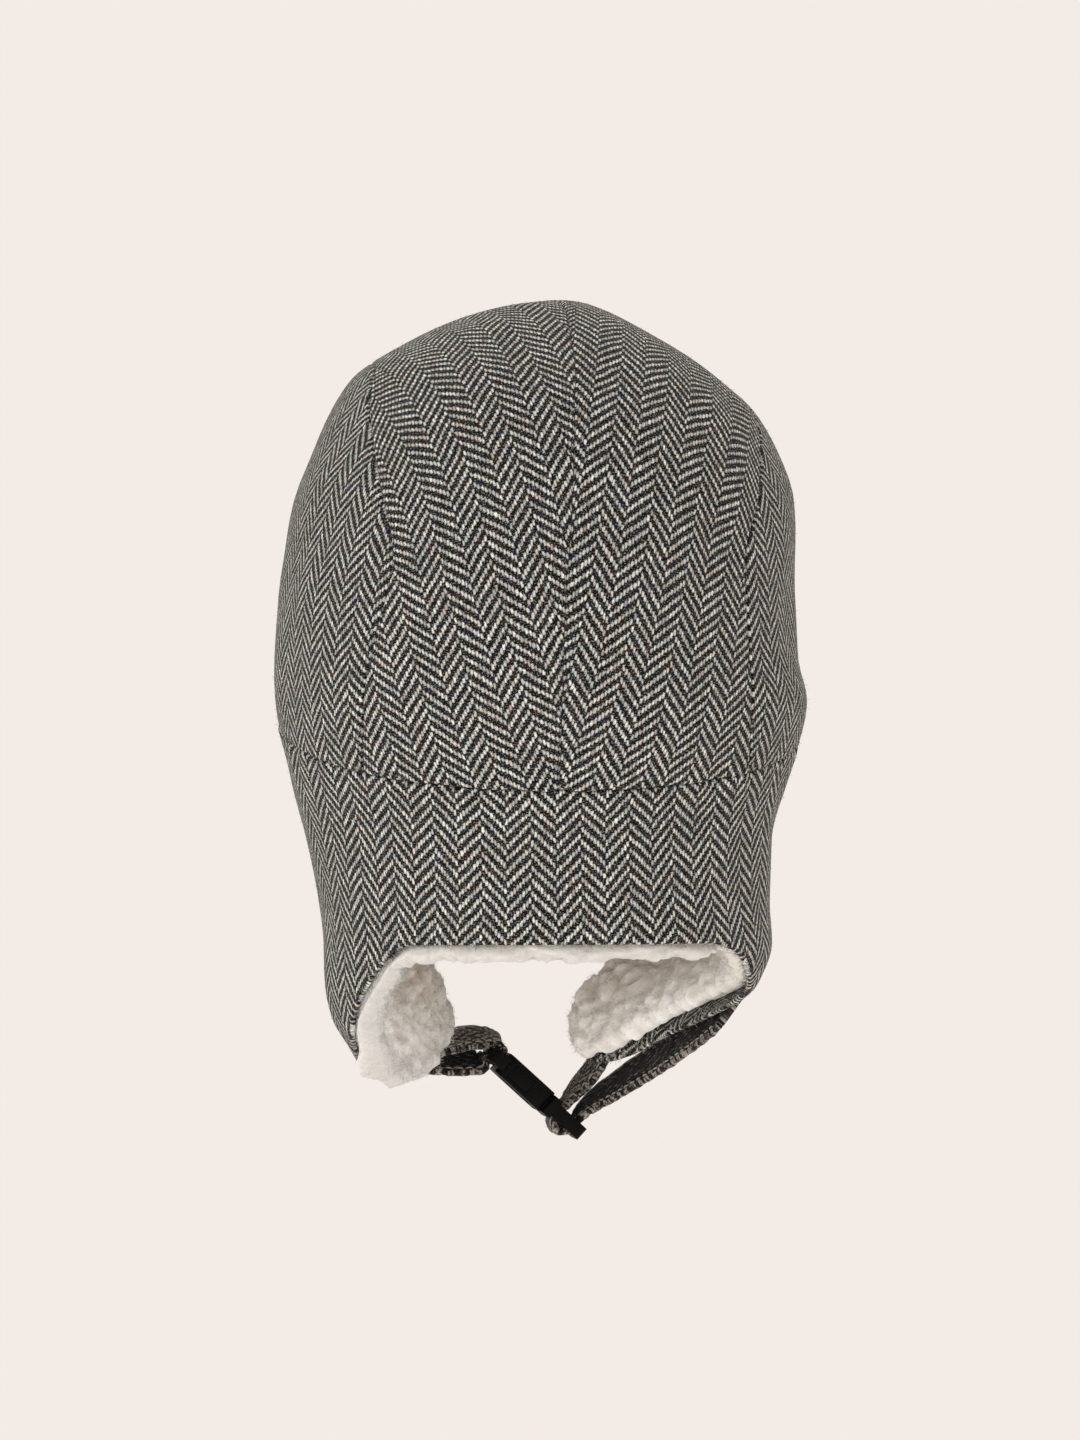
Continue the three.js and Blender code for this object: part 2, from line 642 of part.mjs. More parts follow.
// The socket: a flat sleeve that is open at its mouth and at its two sides, with a bar at its other end.
function buckleSocket() {
  const height = BUCKLE_THICK - 2 * SOCKET_WALL;
  const sleeve = plate(SOCKET_START, SOCKET_MOUTH, BUCKLE_WIDTH, BUCKLE_THICK);
  const hollow = block(SOCKET_START + SOCKET_FLOOR, BUCKLE_END, BUCKLE_WIDTH - 2 * SOCKET_WALL, height);
  const windowFrom = SOCKET_START + WINDOW_START;
  const window = block(windowFrom, windowFrom + WINDOW_LENGTH, 2 * BUCKLE_WIDTH, height);
  const frame = plate(END_SETBACK - BUCKLE_END, SOCKET_START + SOCKET_FLOOR, BUCKLE_WIDTH, ADJUSTER_THICK);
  const holder = frame.subtract(slot(-BUCKLE_END, SOCKET_START)).add(bar(SOCKET_BAR, 0));
  return geometryOf(sleeve.subtract(hollow).subtract(window).add(holder));
}

// The plug: a guide and two prongs inside the socket, shoulders against its mouth, and the two-slot adjuster.
function bucklePlug() {
  const inside = BUCKLE_THICK - 2 * SOCKET_WALL - 2 * GAP;
  const tip = SOCKET_MOUTH - PRONG_LENGTH;
  const root = PLUG_START + ROOT;
  const reach = BUCKLE_WIDTH / 2 - SOCKET_WALL - GAP - PRONG_WIDTH / 2;
  const slotsFrom = PLUG_INNER_SLOT - SLOT_LENGTH / 2;
  const shoulders = block(PLUG_START, slotsFrom, BUCKLE_WIDTH, BUCKLE_THICK - 2 * SHOULDER_STEP);
  const frame = plate(PLUG_START + ROOT / 2, BUCKLE_END, BUCKLE_WIDTH, ADJUSTER_THICK);
  const guide = block(tip + GUIDE_SETBACK, root, GUIDE_WIDTH, inside);
  const prongs = [-1, 1].map((side) => block(tip, root, PRONG_WIDTH, inside, side * reach));
  const adjuster = shoulders.add(frame).subtract(slot(slotsFrom, BUCKLE_END - END_BAR));
  const body = adjuster.add(bar(PLUG_BAR, -PLUG_BAR_DROP)).add(guide);
  return geometryOf(prongs.reduce((whole, prong) => whole.add(prong), body));
}

// Materials
const tweed = new THREE.MeshStandardMaterial({ color: "#6e6c66", roughness: 0.95, metalness: 0 });
const fleece = new THREE.MeshStandardMaterial({ color: "#e3dfd8", roughness: 1, metalness: 0 });
const strapTweed = new THREE.MeshStandardMaterial({ color: "#4d4a46", roughness: 0.95, metalness: 0 });
const plastic = new THREE.MeshStandardMaterial({ color: "#1b1b1d", roughness: 0.45, metalness: 0 });

function piece(name, geometry, material) {
  const mesh = new THREE.Mesh(geometry, material);
  mesh.name = name;
  return mesh;
}

const crown = new THREE.Group();
crown.add(
  piece("crown_center_left", crownPanel(0, 1), tweed),
  piece("crown_center_right", crownPanel(-1, 0), tweed),
  piece("crown_side_left", crownPanel(1, 2), tweed),
  piece("crown_side_right", crownPanel(-2, -1), tweed),
  piece("crown_lining_left", crownLining(SEAM_INSET, 2), fleece),
  piece("crown_lining_right", crownLining(-2, -SEAM_INSET), fleece),
);

const flaps = new THREE.Group();
flaps.add(
  piece("earflap_shell", earflapShell(), tweed),
  piece("nape_lining", bandLining(NAPE_SHARES, FLEECE, false), fleece),
  piece("flap_lining_left", bandLining(FLAP_SHARES, FLAP_FLEECE, true), fleece),
  piece("flap_lining_right", bandLining(FLAP_SHARES.map((s) => -s).reverse(), FLAP_FLEECE, true), fleece),
);

const buckle = new THREE.Group();
const buckleTurn = new THREE.Matrix4().makeBasis(BUCKLE_ALONG, ACROSS.clone().negate(), BUCKLE_OUT);
buckle.position.copy(BUCKLE_MIDDLE);
buckle.quaternion.setFromRotationMatrix(buckleTurn);
buckle.add(piece("buckle_socket", buckleSocket(), plastic), piece("buckle_plug", bucklePlug(), plastic));

const chinStrap = new THREE.Group();
chinStrap.add(
  piece("strap_left", strapLeft(), strapTweed),
  piece("strap_right", strapRight(), strapTweed),
  buckle,
);

const hat = new THREE.Group();
hat.add(crown, flaps, chinStrap);

export default hat;
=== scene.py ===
"""The finished look of an aviator hat of herringbone tweed and pile fleece, in its worn form."""
import sys
import logging
import math
from dataclasses import dataclass, replace
from enum import Enum
from typing import Any, Callable, Sequence

import bmesh
import bpy
import numpy as np
from mathutils import Matrix, Vector


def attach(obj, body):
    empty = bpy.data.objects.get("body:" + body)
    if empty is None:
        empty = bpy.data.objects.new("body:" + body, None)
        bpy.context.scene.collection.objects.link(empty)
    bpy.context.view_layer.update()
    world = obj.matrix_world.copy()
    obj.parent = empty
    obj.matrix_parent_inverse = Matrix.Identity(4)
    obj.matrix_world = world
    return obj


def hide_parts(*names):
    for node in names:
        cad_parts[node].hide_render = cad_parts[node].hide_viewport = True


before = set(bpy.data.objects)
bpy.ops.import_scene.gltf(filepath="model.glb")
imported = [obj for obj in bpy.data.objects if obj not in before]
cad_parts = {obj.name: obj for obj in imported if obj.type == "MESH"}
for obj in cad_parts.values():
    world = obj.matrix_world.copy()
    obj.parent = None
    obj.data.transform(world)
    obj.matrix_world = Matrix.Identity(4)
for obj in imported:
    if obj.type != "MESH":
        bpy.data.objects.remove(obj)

log = logging.getLogger("aviator_hat")

MM = 0.001  # the tables below are in millimetres, the scene is in metres
BODY = "root"
CLOTH = "cloth"  # mesh attribute: how far a point of tweed lies across and along the warp, in millimetres
PILE = "pile"  # mesh attribute: the painted light of a point of the fleece, which paints shade into its creases and deeper inside the hat, and how much of the edge's painted shade it takes

GAP = 0.3  # room between neighbouring pieces
TWEED = 2.2  # the tweed's thickness
FLEECE = 7.5  # the thickness of the lining in the crown and nape
FLAP_FLEECE = 10.0  # and in the ear flaps
FLAP_EASE = 0.45  # room between tweed and fleece below the crown, besides the gap
APEX = TWEED + GAP + FLEECE  # the height of the outer surface's top, from which depths are counted
ROUNDNESS = 2.15  # the horizontal sections' exponent, which is 2 for an ellipse and more for a squarer form
SEAM_DEPTH = 148.5  # the depth of the crown's lower seam at the sides
SEAM_SLOPE = 0.225  # how far that seam falls for each millimetre towards the back
BAND_FRONT = 116.0  # degrees from the back to the flaps' front edges, at that seam
FLAP_LINING_START = 0.38  # the share of the band where the nape's lining ends and a flap's starts

STRAP_WIDTH = 20.0
STRAP_THICK = 2.8
STRAP_PLANE = -76.0  # how far back the buckle lies, below zero being forward
BUCKLE_MIDDLE = np.array([-4.8, STRAP_PLANE, -266.0])
BUCKLE_SLOPE = math.radians(42.4)  # how steeply it falls from the socket to the plug
BUCKLE_LENGTH = 44.4
BUCKLE_WIDTH = 27.0
BUCKLE_THICK = 8.4

TINY = 1e-9  # keeps a division from failing

Array = np.ndarray
Material = bpy.types.Material
Piece = bpy.types.Object
Colour = tuple[float, float, float, float]


class Slot(Enum):
    """The record's material slots."""

    TWEED = "tweed"
    FLEECE = "fleece"
    STRAP = "strap_tweed"
    PLASTIC = "plastic"


class StrapKind(Enum):
    """The numbers of the straps' materials, in the order that they are given to the mesh."""

    TWEED = 0
    THREAD = 1
    # the darker cloth of the straps' shadowed faces, a painted shade
    LINING = 2


class Cut(Enum):
    """The rough shapes in which the hat's pieces are cut from the cloth."""

    STRIP = "strip"
    BAND = "band"
    HALF_MOON = "half moon"


class Side(Enum):
    """The wearer's two sides, as signs of x."""

    LEFT = 1
    RIGHT = -1


class Table:
    """A short table of sizes that is read between its rows without overshoot."""

    def __init__(self, columns: str, rows: Sequence[Sequence[float]]) -> None:
        """Keeps the rows under their column names, the first being the key."""
        self.names = columns.split()
        self.rows = np.array(rows, float)

    def read(self, column: str, at: Array) -> Array:
        """Reads one column at given values of the key.

        Args:
            column: the name of the column.
            at: values of the key, held within the table's ends.

        Returns:
            The column's values there.
        """
        keys = self.rows[:, 0]
        values = self.rows[:, self.names.index(column)]
        slopes = np.diff(values) / np.diff(keys)
        before, after = slopes[:-1], slopes[1:]
        both = np.where(before * after > 0, before + after, 1.0)
        bends = np.where(before * after > 0, 2 * before * after / both, 0.0)
        tangents = np.concatenate([slopes[:1], bends, slopes[-1:]])
        held = np.clip(at, keys[0], keys[-1])
        i = np.clip(np.searchsorted(keys, held, side="left") - 1, 0, len(keys) - 2)
        width = keys[i + 1] - keys[i]
        t = (held - keys[i]) / width
        spread = t * t * (3 - 2 * t)
        bend = (1 - t) * tangents[i] - t * tangents[i + 1]
        return values[i] * (1 - spread) + values[i + 1] * spread + width * t * (1 - t) * bend


SECTIONS = Table("depth middle left right back front", [
    (0, -5.5, -5.5, 5.5, 0, 0),
    (4, -5.5, 20.5, 21.5, 31, 29),
    (14, -5, 44.5, 41.5, 57, 54),
    (28, -4.5, 65.3, 61.8, 78, 74),
    (41, -3, 73, 75, 90, 85),
    (55, -2, 79, 82, 98, 93),
    (69, -1, 84.5, 86.5, 104, 99),
    (83, 0, 87.5, 87.7, 108, 102),
    (104, 2, 90.3, 86.8, 110, 105),
    (124, 2.3, 91.6, 88.3, 107, 106),
    (138, 2.4, 91, 91.4, 103, 106),
    (152, 2.3, 89, 89, 98, 105),
    (166, 2.2, 86, 84.7, 92, 104),
    (186, 2.2, 80.2, 79.3, 84, 101),
    (207, 2.2, 76.2, 78.7, 79, 96),
    (222, 2.2, 74, 80, 77, 92),
    (235, 2, 73.4, 75.3, 76, 89),
    (247, 2, 71.5, 62.5, 75, 86),
    (260, 2, 64.5, 53.5, 74, 82),
    (276, 2, 56, 48, 72, 76),
])
SIDE_SEAMS = Table("turn left right", [
    (0, 66.5, 65),
    (20, 67, 65),
    (33, 64, 63.5),
    (47, 58, 62),
    (62, 61.5, 68),
    (78, 63, 71),
    (96, 58.5, 68),
    (120, 58, 65),
    (150, 62, 64),
    (180, 65, 65),
])
HEMS = {
    Side.LEFT: Table("share turn depth", [
        (0, 0, 220.5),
        (0.28, 40, 221),
        (0.38, 49.5, 226),
        (0.44, 56, 232.5),
        (0.5, 64, 241),
        (0.57, 75, 252.5),
        (0.65, 91, 260.5),
        (0.75, 109, 267.5),
        (0.85, 127, 271),
        (0.92, 142, 268),
        (0.97, 153, 260.5),
        (1, 160, 248),
    ]),
    Side.RIGHT: Table("share turn depth", [
        (0, 0, 220.5),
        (0.28, 40, 220.5),
        (0.38, 50, 223),
        (0.44, 57, 228),
        (0.52, 70, 237),
        (0.62, 88, 245),
        (0.72, 105, 251),
        (0.8, 120, 257),
        (0.88, 134, 263.5),
        (0.93, 146, 266),
        (0.97, 153.5, 263),
        (1, 159.5, 251),
    ]),
}
FLEECE_PAST = {
    Side.LEFT: Table("share past", [
        (0, 5.5),
        (0.3, 5.5),
        (0.45, 3),
        (0.62, 6.5),
        (0.8, 3.5),
        (1, 2),
    ]),
    Side.RIGHT: Table("share past", [
        (0, 5.5),
        (0.26, 5),
        (0.42, -2.5),
        (0.9, -3),
        (0.97, 0.5),
        (1, 0.5),
    ]),
}


def unit(vectors: Array) -> Array:
    """Vectors of length one."""
    return vectors / np.maximum(np.linalg.norm(vectors, axis=-1, keepdims=True), TINY)


class HatForm:
    """The hat's outer surface and the lines that its panels are cut along, in millimetres.

    Attributes:
        normal_step: how far apart the surface is tried for its outward direction, to each side.
        halvings: how often a path is halved to find where it leaves the hat.
        seam_passes: how often the seam's depth is worked out again from its place.
        reach: the length of the paths, which end well outside the hat.
    """

    normal_step: float = 0.5
    halvings: int = 34
    seam_passes: int = 12
    reach: float = 260.0

    def __init__(self) -> None:
        """Squares the sections' half-widths, which makes the top of the crown round."""
        rows = SECTIONS.rows.copy()
        rows[:, 2] = (rows[:, 2] - rows[:, 1]) ** 2
        rows[:, 3] = (rows[:, 3] + rows[:, 1]) ** 2
        rows[:, 4:] = rows[:, 4:] ** 2
        self.squared = Table(" ".join(SECTIONS.names), rows)
        fall = math.atan(SEAM_SLOPE)
        self.along_seam = np.array([0, math.cos(fall), -math.sin(fall)])
        self.above_seam = np.array([0, math.sin(fall), math.cos(fall)])
        self.hub = np.array([0, 0, APEX - SEAM_DEPTH]) + self.above_seam * GAP / 2

    def half(self, depth: Array, column: str) -> Array:
        """The half-width of the sections at given depths."""
        return np.sqrt(np.maximum(self.squared.read(column, depth), 1e-6))

    def beyond(self, points: Array) -> Array:
        """How far points lie outside the surface, in no unit, and below zero inside it."""
        depth = APEX - points[..., 2]
        across = points[..., 0] - self.squared.read("middle", depth)
        wide = np.where(across > 0, self.half(depth, "left"), self.half(depth, "right"))
        y = points[..., 1]
        long = np.where(y > 0, self.half(depth, "back"), self.half(depth, "front"))
        inside = (np.abs(across) / wide) ** ROUNDNESS + (np.abs(y) / long) ** ROUNDNESS - 1
        return np.where(depth <= 0, 1 - depth, inside)

    def normal(self, points: Array) -> Array:
        """The outward direction at points of the surface."""
        steps = np.eye(3) * self.normal_step
        slope = [self.beyond(points + step) - self.beyond(points - step) for step in steps]
        return unit(np.stack(slope, -1))

    def meet(self, path: Callable[[Array], Array], shape: tuple[int, ...]) -> Array:
        """Finds where paths from inside the hat come out through its surface.

        Args:
            path: gives the paths' points at shares of their length.
            shape: the shape of the array of paths.

        Returns:
            The points where the paths meet the surface.
        """
        inside, outside = np.zeros(shape), np.ones(shape)
        for _ in range(self.halvings):
            half = (inside + outside) / 2
            out = self.beyond(path(half)) > 0
            outside = np.where(out, half, outside)
            inside = np.where(out, inside, half)
        return path((inside + outside) / 2)

    def from_hub(self, direction: Array) -> Array:
        """Where rays from the hub come out."""
        ray = unit(direction)
        return self.meet(lambda r: self.hub + ray * (r * self.reach)[..., None], ray.shape[:-1])

    def centre(self, share: Array, turn: Array) -> Array:
        """A point of the centre panels.

        Args:
            share: 0 at the centre seam, 1 or -1 at the side seams.
            turn: degrees from the back over the top.

        Returns:
            The points on the outer surface.
        """
        left, right = SIDE_SEAMS.read("left", turn), SIDE_SEAMS.read("right", turn)
        seam_x = np.where(share < 0, -right, left)
        angle = np.radians(turn)[..., None]
        way = self.along_seam * np.cos(angle) + self.above_seam * np.sin(angle)
        s = np.abs(share)

        def path(r: Array) -> Array:
            """Points of the rays, bent sideways to the panel's own lines."""
            points = self.hub + way * (r * self.reach)[..., None]
            middle = self.squared.read("middle", APEX - points[..., 2])
            points[..., 0] = middle * (1 - s) + seam_x * s
            return points

        return self.meet(path, s.shape)

    def seam(self, side: Array, turn: Array) -> Array:
        """Points of the crown's lower seam at plan angles from the back."""
        angle = np.radians(turn)
        flat = np.stack([side * np.sin(angle), np.cos(angle), -SEAM_SLOPE * np.cos(angle)], -1)
        return self.from_hub(flat)

    def crown(self, across: Array, turn: Array) -> Array:
        """Any point of the crown.

        Args:
            across: 0 at the centre seam, 1 or -1 at the side seams, 2 or -2 at the lower seam.
            turn: degrees from the back over the top.

        Returns:
            The points on the outer surface.
        """
        side = np.where(across < 0, -1.0, 1.0)
        top = self.centre(side * np.minimum(np.abs(across), 1), turn)
        drop = np.clip(np.abs(across) - 1, 0, 1)
        if not np.any(drop):
            return top
        back_and_front = np.stack([np.zeros_like(turn), np.full_like(turn, 180.0)])
        ends = self.centre(np.stack([side, side]), back_and_front)
        plan = np.degrees(np.arctan2(np.abs(ends[..., 0]), ends[..., 1]))
        low = self.seam(side, plan[0] + (plan[1] - plan[0]) * turn / 180)
        share = drop[..., None]
        below = self.from_hub(unit(top - self.hub) * (1 - share) + unit(low - self.hub) * share)
        keep = (share <= 0) | (turn[..., None] <= 0) | (turn[..., None] >= 180)
        return np.where(keep, top, below)

    def section(self, side: Array, turn: Array, depth: Array) -> Array:
        """Points of horizontal sections, at angles from the back towards a side."""
        sine, cosine = np.sin(np.radians(turn)), np.cos(np.radians(turn))
        bent_sine = np.sign(sine) * np.abs(sine) ** (2 / ROUNDNESS)
        bent_cosine = np.sign(cosine) * np.abs(cosine) ** (2 / ROUNDNESS)
        wide = np.where(side > 0, self.half(depth, "left"), self.half(depth, "right"))
        long = np.where(bent_cosine > 0, self.half(depth, "back"), self.half(depth, "front"))
        x = self.squared.read("middle", depth) + side * bent_sine * wide
        return np.stack([x, bent_cosine * long, APEX - depth], -1)

    def band(self, share: Array, drop: Array, past: Array | float = 0.0) -> Array:
        """A point of the nape and flaps.

        Args:
            share: 0 at the middle of the back, 1 or -1 at the front edges of the flaps.
            drop: 0 at the crown's seam, 1 at the hem.
            past: how far the edge hangs below the tweed's hem.

        Returns:
            The points on the outer surface.
        """
        side, s = np.where(share < 0, -1.0, 1.0), np.abs(share)
        left, right = HEMS[Side.LEFT], HEMS[Side.RIGHT]
        hem_turn = np.where(side > 0, left.read("turn", s), right.read("turn", s))
        hem_depth = np.where(side > 0, left.read("depth", s), right.read("depth", s)) + past
        top_turn = BAND_FRONT * s
        depth = np.full_like(s, SEAM_DEPTH)
        for _ in range(self.seam_passes):
            depth = SEAM_DEPTH + SEAM_SLOPE * self.section(side, top_turn, depth)[..., 1]
        top_depth = depth + GAP / 2
        turn = top_turn + (hem_turn - top_turn) * drop
        return self.section(side, turn, top_depth + (hem_depth - top_depth) * drop)


FORM = HatForm()


@dataclass(frozen=True)
class Relief:
    """Smooth random relief made of plane waves.

    Attributes:
        wavelength: the waves' length, of which each wave takes 0.75 to 1.6.
        height: the relief's usual height, as the square root of its mean square.
        seed: its own seed.
        waves: how many waves are added up.
    """

    wavelength: float
    height: float
    seed: int
    waves: int = 16

    def at(self, points: Array) -> Array:
        """The relief's height at points."""
        rng = np.random.default_rng(self.seed)
        ways = unit(rng.normal(size=(self.waves, 3)))
        lengths = self.wavelength * rng.uniform(0.75, 1.6, (self.waves, 1))
        phases = rng.uniform(0, 2 * math.pi, self.waves)
        angle = points @ (2 * math.pi * ways / lengths).T + phases
        return self.height * np.sin(angle).sum(-1) / math.sqrt(self.waves / 2)


def grid_lengths(points: Array, axis: int) -> Array:
    """Distances along the lines of a grid from its first row or column."""
    steps = np.linalg.norm(np.diff(points, axis=axis), axis=-1)
    padding = [(0, 0), (0, 0)]
    padding[axis] = (1, 0)
    return np.pad(np.cumsum(steps, axis=axis), padding)


def edge_distances(points: Array) -> tuple[Array, Array, Array, Array]:
    """How far each point of a grid lies from the grid's first and last row and first and last column."""
    across, along = grid_lengths(points, 0), grid_lengths(points, 1)
    return across, across[-1:] - across, along, along[:, -1:] - along


def roll(distance: Array, width: float) -> Array:
    """A rounded edge: 1 at the edge, falling to 0 at its width."""
    near = np.clip(1 - distance / width, 0, 1)
    return 1 - np.sqrt(1 - near**2)


def crowded(start: float, end: float, steps: int, crowding: float = 0.7) -> Array:
    """Values from start to end that lie closer together at both ends."""
    t = np.linspace(0, 1, steps + 1)
    return start + (end - start) * (t - crowding * np.sin(2 * math.pi * t) / (2 * math.pi))


FLATTENING_PASSES = 700
HALF_MOON_SPREAD = 1.2  # how much wider a side panel is on the table than seen from the side


def lay_flat(points: Array, cut: Cut) -> Array:
    """Lays a curved grid of cloth out flat, keeping the lengths of its threads as well as it can.

    Args:
        points: a grid of points on the cloth.
        cut: the piece's rough shape on the table, from which the work starts.

    Returns:
        The grid's points on the cutting table.
    """
    across, along = grid_lengths(points, 0), grid_lengths(points, 1)
    middle = points.shape[0] // 2
    if cut is Cut.STRIP:
        flat = np.stack([across - across[middle], along[middle] + 0 * across], -1)
    elif cut is Cut.BAND:
        flat = np.stack([across - across[middle], along], -1)
    else:
        flat = points[..., 1:] * HALF_MOON_SPREAD
    pairs = []
    for di, dj in ((1, 0), (0, 1), (1, 1), (1, -1)):
        first = (slice(0, points.shape[0] - di), slice(max(-dj, 0), points.shape[1] - max(dj, 0)))
        second = (slice(di, None), slice(max(dj, 0), points.shape[1] - max(-dj, 0)))
        pairs.append((first, second, np.linalg.norm(points[second] - points[first], axis=-1)))
    for _ in range(FLATTENING_PASSES):
        push = np.zeros_like(flat)
        for first, second, rest in pairs:
            way = flat[second] - flat[first]
            now = np.maximum(np.linalg.norm(way, axis=-1), TINY)
            pull = way * (0.5 * (now - rest) / now)[..., None]
            push[first] += pull
            push[second] -= pull
        flat += push / 4
    return flat


@dataclass(frozen=True)
class Grain:
    """How a piece is cut from the cloth.

    Attributes:
        place: where on the piece, as shares of its grid, the lean is known.
        lean: degrees that the warp leans there, seen from behind.
        joint: where on the piece the counting of columns starts.
        start: millimetres by which the counting is shifted.
        cut: the piece's rough shape.
    """

    place: tuple[float, float]
    lean: float
    joint: tuple[float, float] = (0.0, 0.0)
    start: float = 0.0
    cut: Cut = Cut.STRIP

    def threads(self, points: Array) -> Array:
        """Places of a grid's points on the cloth.

        Args:
            points: a grid of points on the piece.

        Returns:
            For each point how far it lies across and along the warp, in millimetres.
        """
        flat = lay_flat(points, self.cut)
        i = int(self.place[0] * (points.shape[0] - 1))
        j = int(self.place[1] * (points.shape[1] - 1))
        across = points[i + 1, j] - points[i - 1, j]
        along = points[i, j + 1] - points[i, j - 1]
        angle = math.radians(self.lean)
        seen = np.array([[across[0], along[0]], [across[2], along[2]]])
        a, b = np.linalg.solve(seen, [-math.sin(angle), -math.cos(angle)])
        down = unit(a * (flat[i + 1, j] - flat[i - 1, j]) + b * (flat[i, j + 1] - flat[i, j - 1]))
        side = np.array([-down[1], down[0]])
        joint = between(flat, np.array([self.joint[0]]), np.array([self.joint[1]]))[0, 0]
        flat = flat - joint
        return np.stack([flat @ side + self.start, -(flat @ down)], -1)


def between(coarse: Array, u: Array, v: Array) -> Array:
    """Reads a grid that is evenly spaced from 0 to 1 both ways, at finer places.

    Args:
        coarse: the grid of values.
        u: places along its first axis, one for each row wanted.
        v: places along its second axis, one for each column wanted.

    Returns:
        The values on the finer grid.
    """
    x, y = u * (coarse.shape[0] - 1), v * (coarse.shape[1] - 1)
    i = np.minimum(x.astype(int), coarse.shape[0] - 2)
    j = np.minimum(y.astype(int), coarse.shape[1] - 2)
    s, t = (x - i)[:, None, None], (y - j)[None, :, None]
    low = coarse[np.ix_(i, j)] * (1 - t) + coarse[np.ix_(i, j + 1)] * t
    high = coarse[np.ix_(i + 1, j)] * (1 - t) + coarse[np.ix_(i + 1, j + 1)] * t
    return low * (1 - s) + high * s


def between_rings(index: Array) -> Array:
    """Faces between the neighbouring rows of a grid of point numbers whose rows are closed rings."""
    after = np.roll(index, -1, axis=1)
    return np.stack([index[:-1], after[:-1], after[1:], index[1:]], -1).reshape(-1, 4)


class Shape:
    """Points, faces and a pair of values for each point of one mesh, gathered piece by piece."""

    merge_distance = 2e-6
    shortest_edge = 1e-7

    def __init__(self) -> None:
        """Starts empty."""
        self.points: list[Array] = []
        self.faces: list[Array] = []
        self.pairs: list[Array] = []
        self.kinds: list[Array] = []
        self.count = 0

    def add(self, points: Array, faces: Array, pairs: Array, kind: int = 0) -> None:
        """Adds points and the faces between them.

        Args:
            points: places in millimetres.
            faces: numbers of the points round each face, counted from this call's first.
            pairs: two values for each point, which its material reads.
            kind: the number of the material.
        """
        self.points.append(points.reshape(-1, 3))
        self.faces.append(faces.reshape(-1, 4) + self.count)
        self.pairs.append(pairs.reshape(-1, 2))
        self.kinds.append(np.full(len(self.faces[-1]), kind))
        self.count += len(self.points[-1])

    def sheet(self, outer: Array, inner: Array, pairs: Array) -> None:
        """Adds a closed sheet: two skins on the same grid and a wall round their rim.

        Args:
            outer: the outer skin's grid of points.
            inner: the inner skin's grid of points.
            pairs: the values on that grid, the same for both skins.
        """
        rows, columns = outer.shape[:2]
        index = np.arange(rows * columns).reshape(rows, columns)
        top = np.stack([index[:-1, :-1], index[1:, :-1], index[1:, 1:], index[:-1, 1:]], -1).reshape(-1, 4)
        rim = np.concatenate([index[:, 0], index[-1, 1:], index[-2::-1, -1], index[0, -2:0:-1]])
        after = np.roll(rim, -1)
        count = rows * columns
        wall = np.stack([after, rim, rim + count, after + count], -1)
        faces = np.concatenate([top, top[:, ::-1] + count, wall])
        both = np.concatenate([outer.reshape(-1, 3), inner.reshape(-1, 3)])
        self.add(both, faces, np.concatenate([pairs.reshape(-1, 2)] * 2))

    def build(self, name: str, attribute: str, materials: Sequence[Material]) -> Piece:
        """Makes the mesh object.

        Args:
            name: the piece's name.
            attribute: the name under which the materials find the pairs of values.
            materials: its materials, by kind.

        Returns:
            The new object, smooth and with its doubled points merged.
        """
        mesh = bpy.data.meshes.new(name)
        mesh.from_pydata(np.concatenate(self.points) * MM, [], np.concatenate(self.faces))
        layer = mesh.attributes.new(attribute, "FLOAT2", "POINT")
        layer.data.foreach_set("vector", np.concatenate(self.pairs).astype(np.float32).ravel())
        mesh.polygons.foreach_set("material_index", np.concatenate(self.kinds).astype(np.int32))
        mesh.update()
        work = bmesh.new()
        work.from_mesh(mesh)
        bmesh.ops.remove_doubles(work, verts=work.verts, dist=self.merge_distance)
        bmesh.ops.dissolve_degenerate(work, dist=self.shortest_edge, edges=work.edges)
        work.to_mesh(mesh)
        work.free()
        mesh.shade_smooth()
        for material in materials:
            mesh.materials.append(material)
        piece = bpy.data.objects.new(name, mesh)
        bpy.context.scene.collection.objects.link(piece)
        return piece


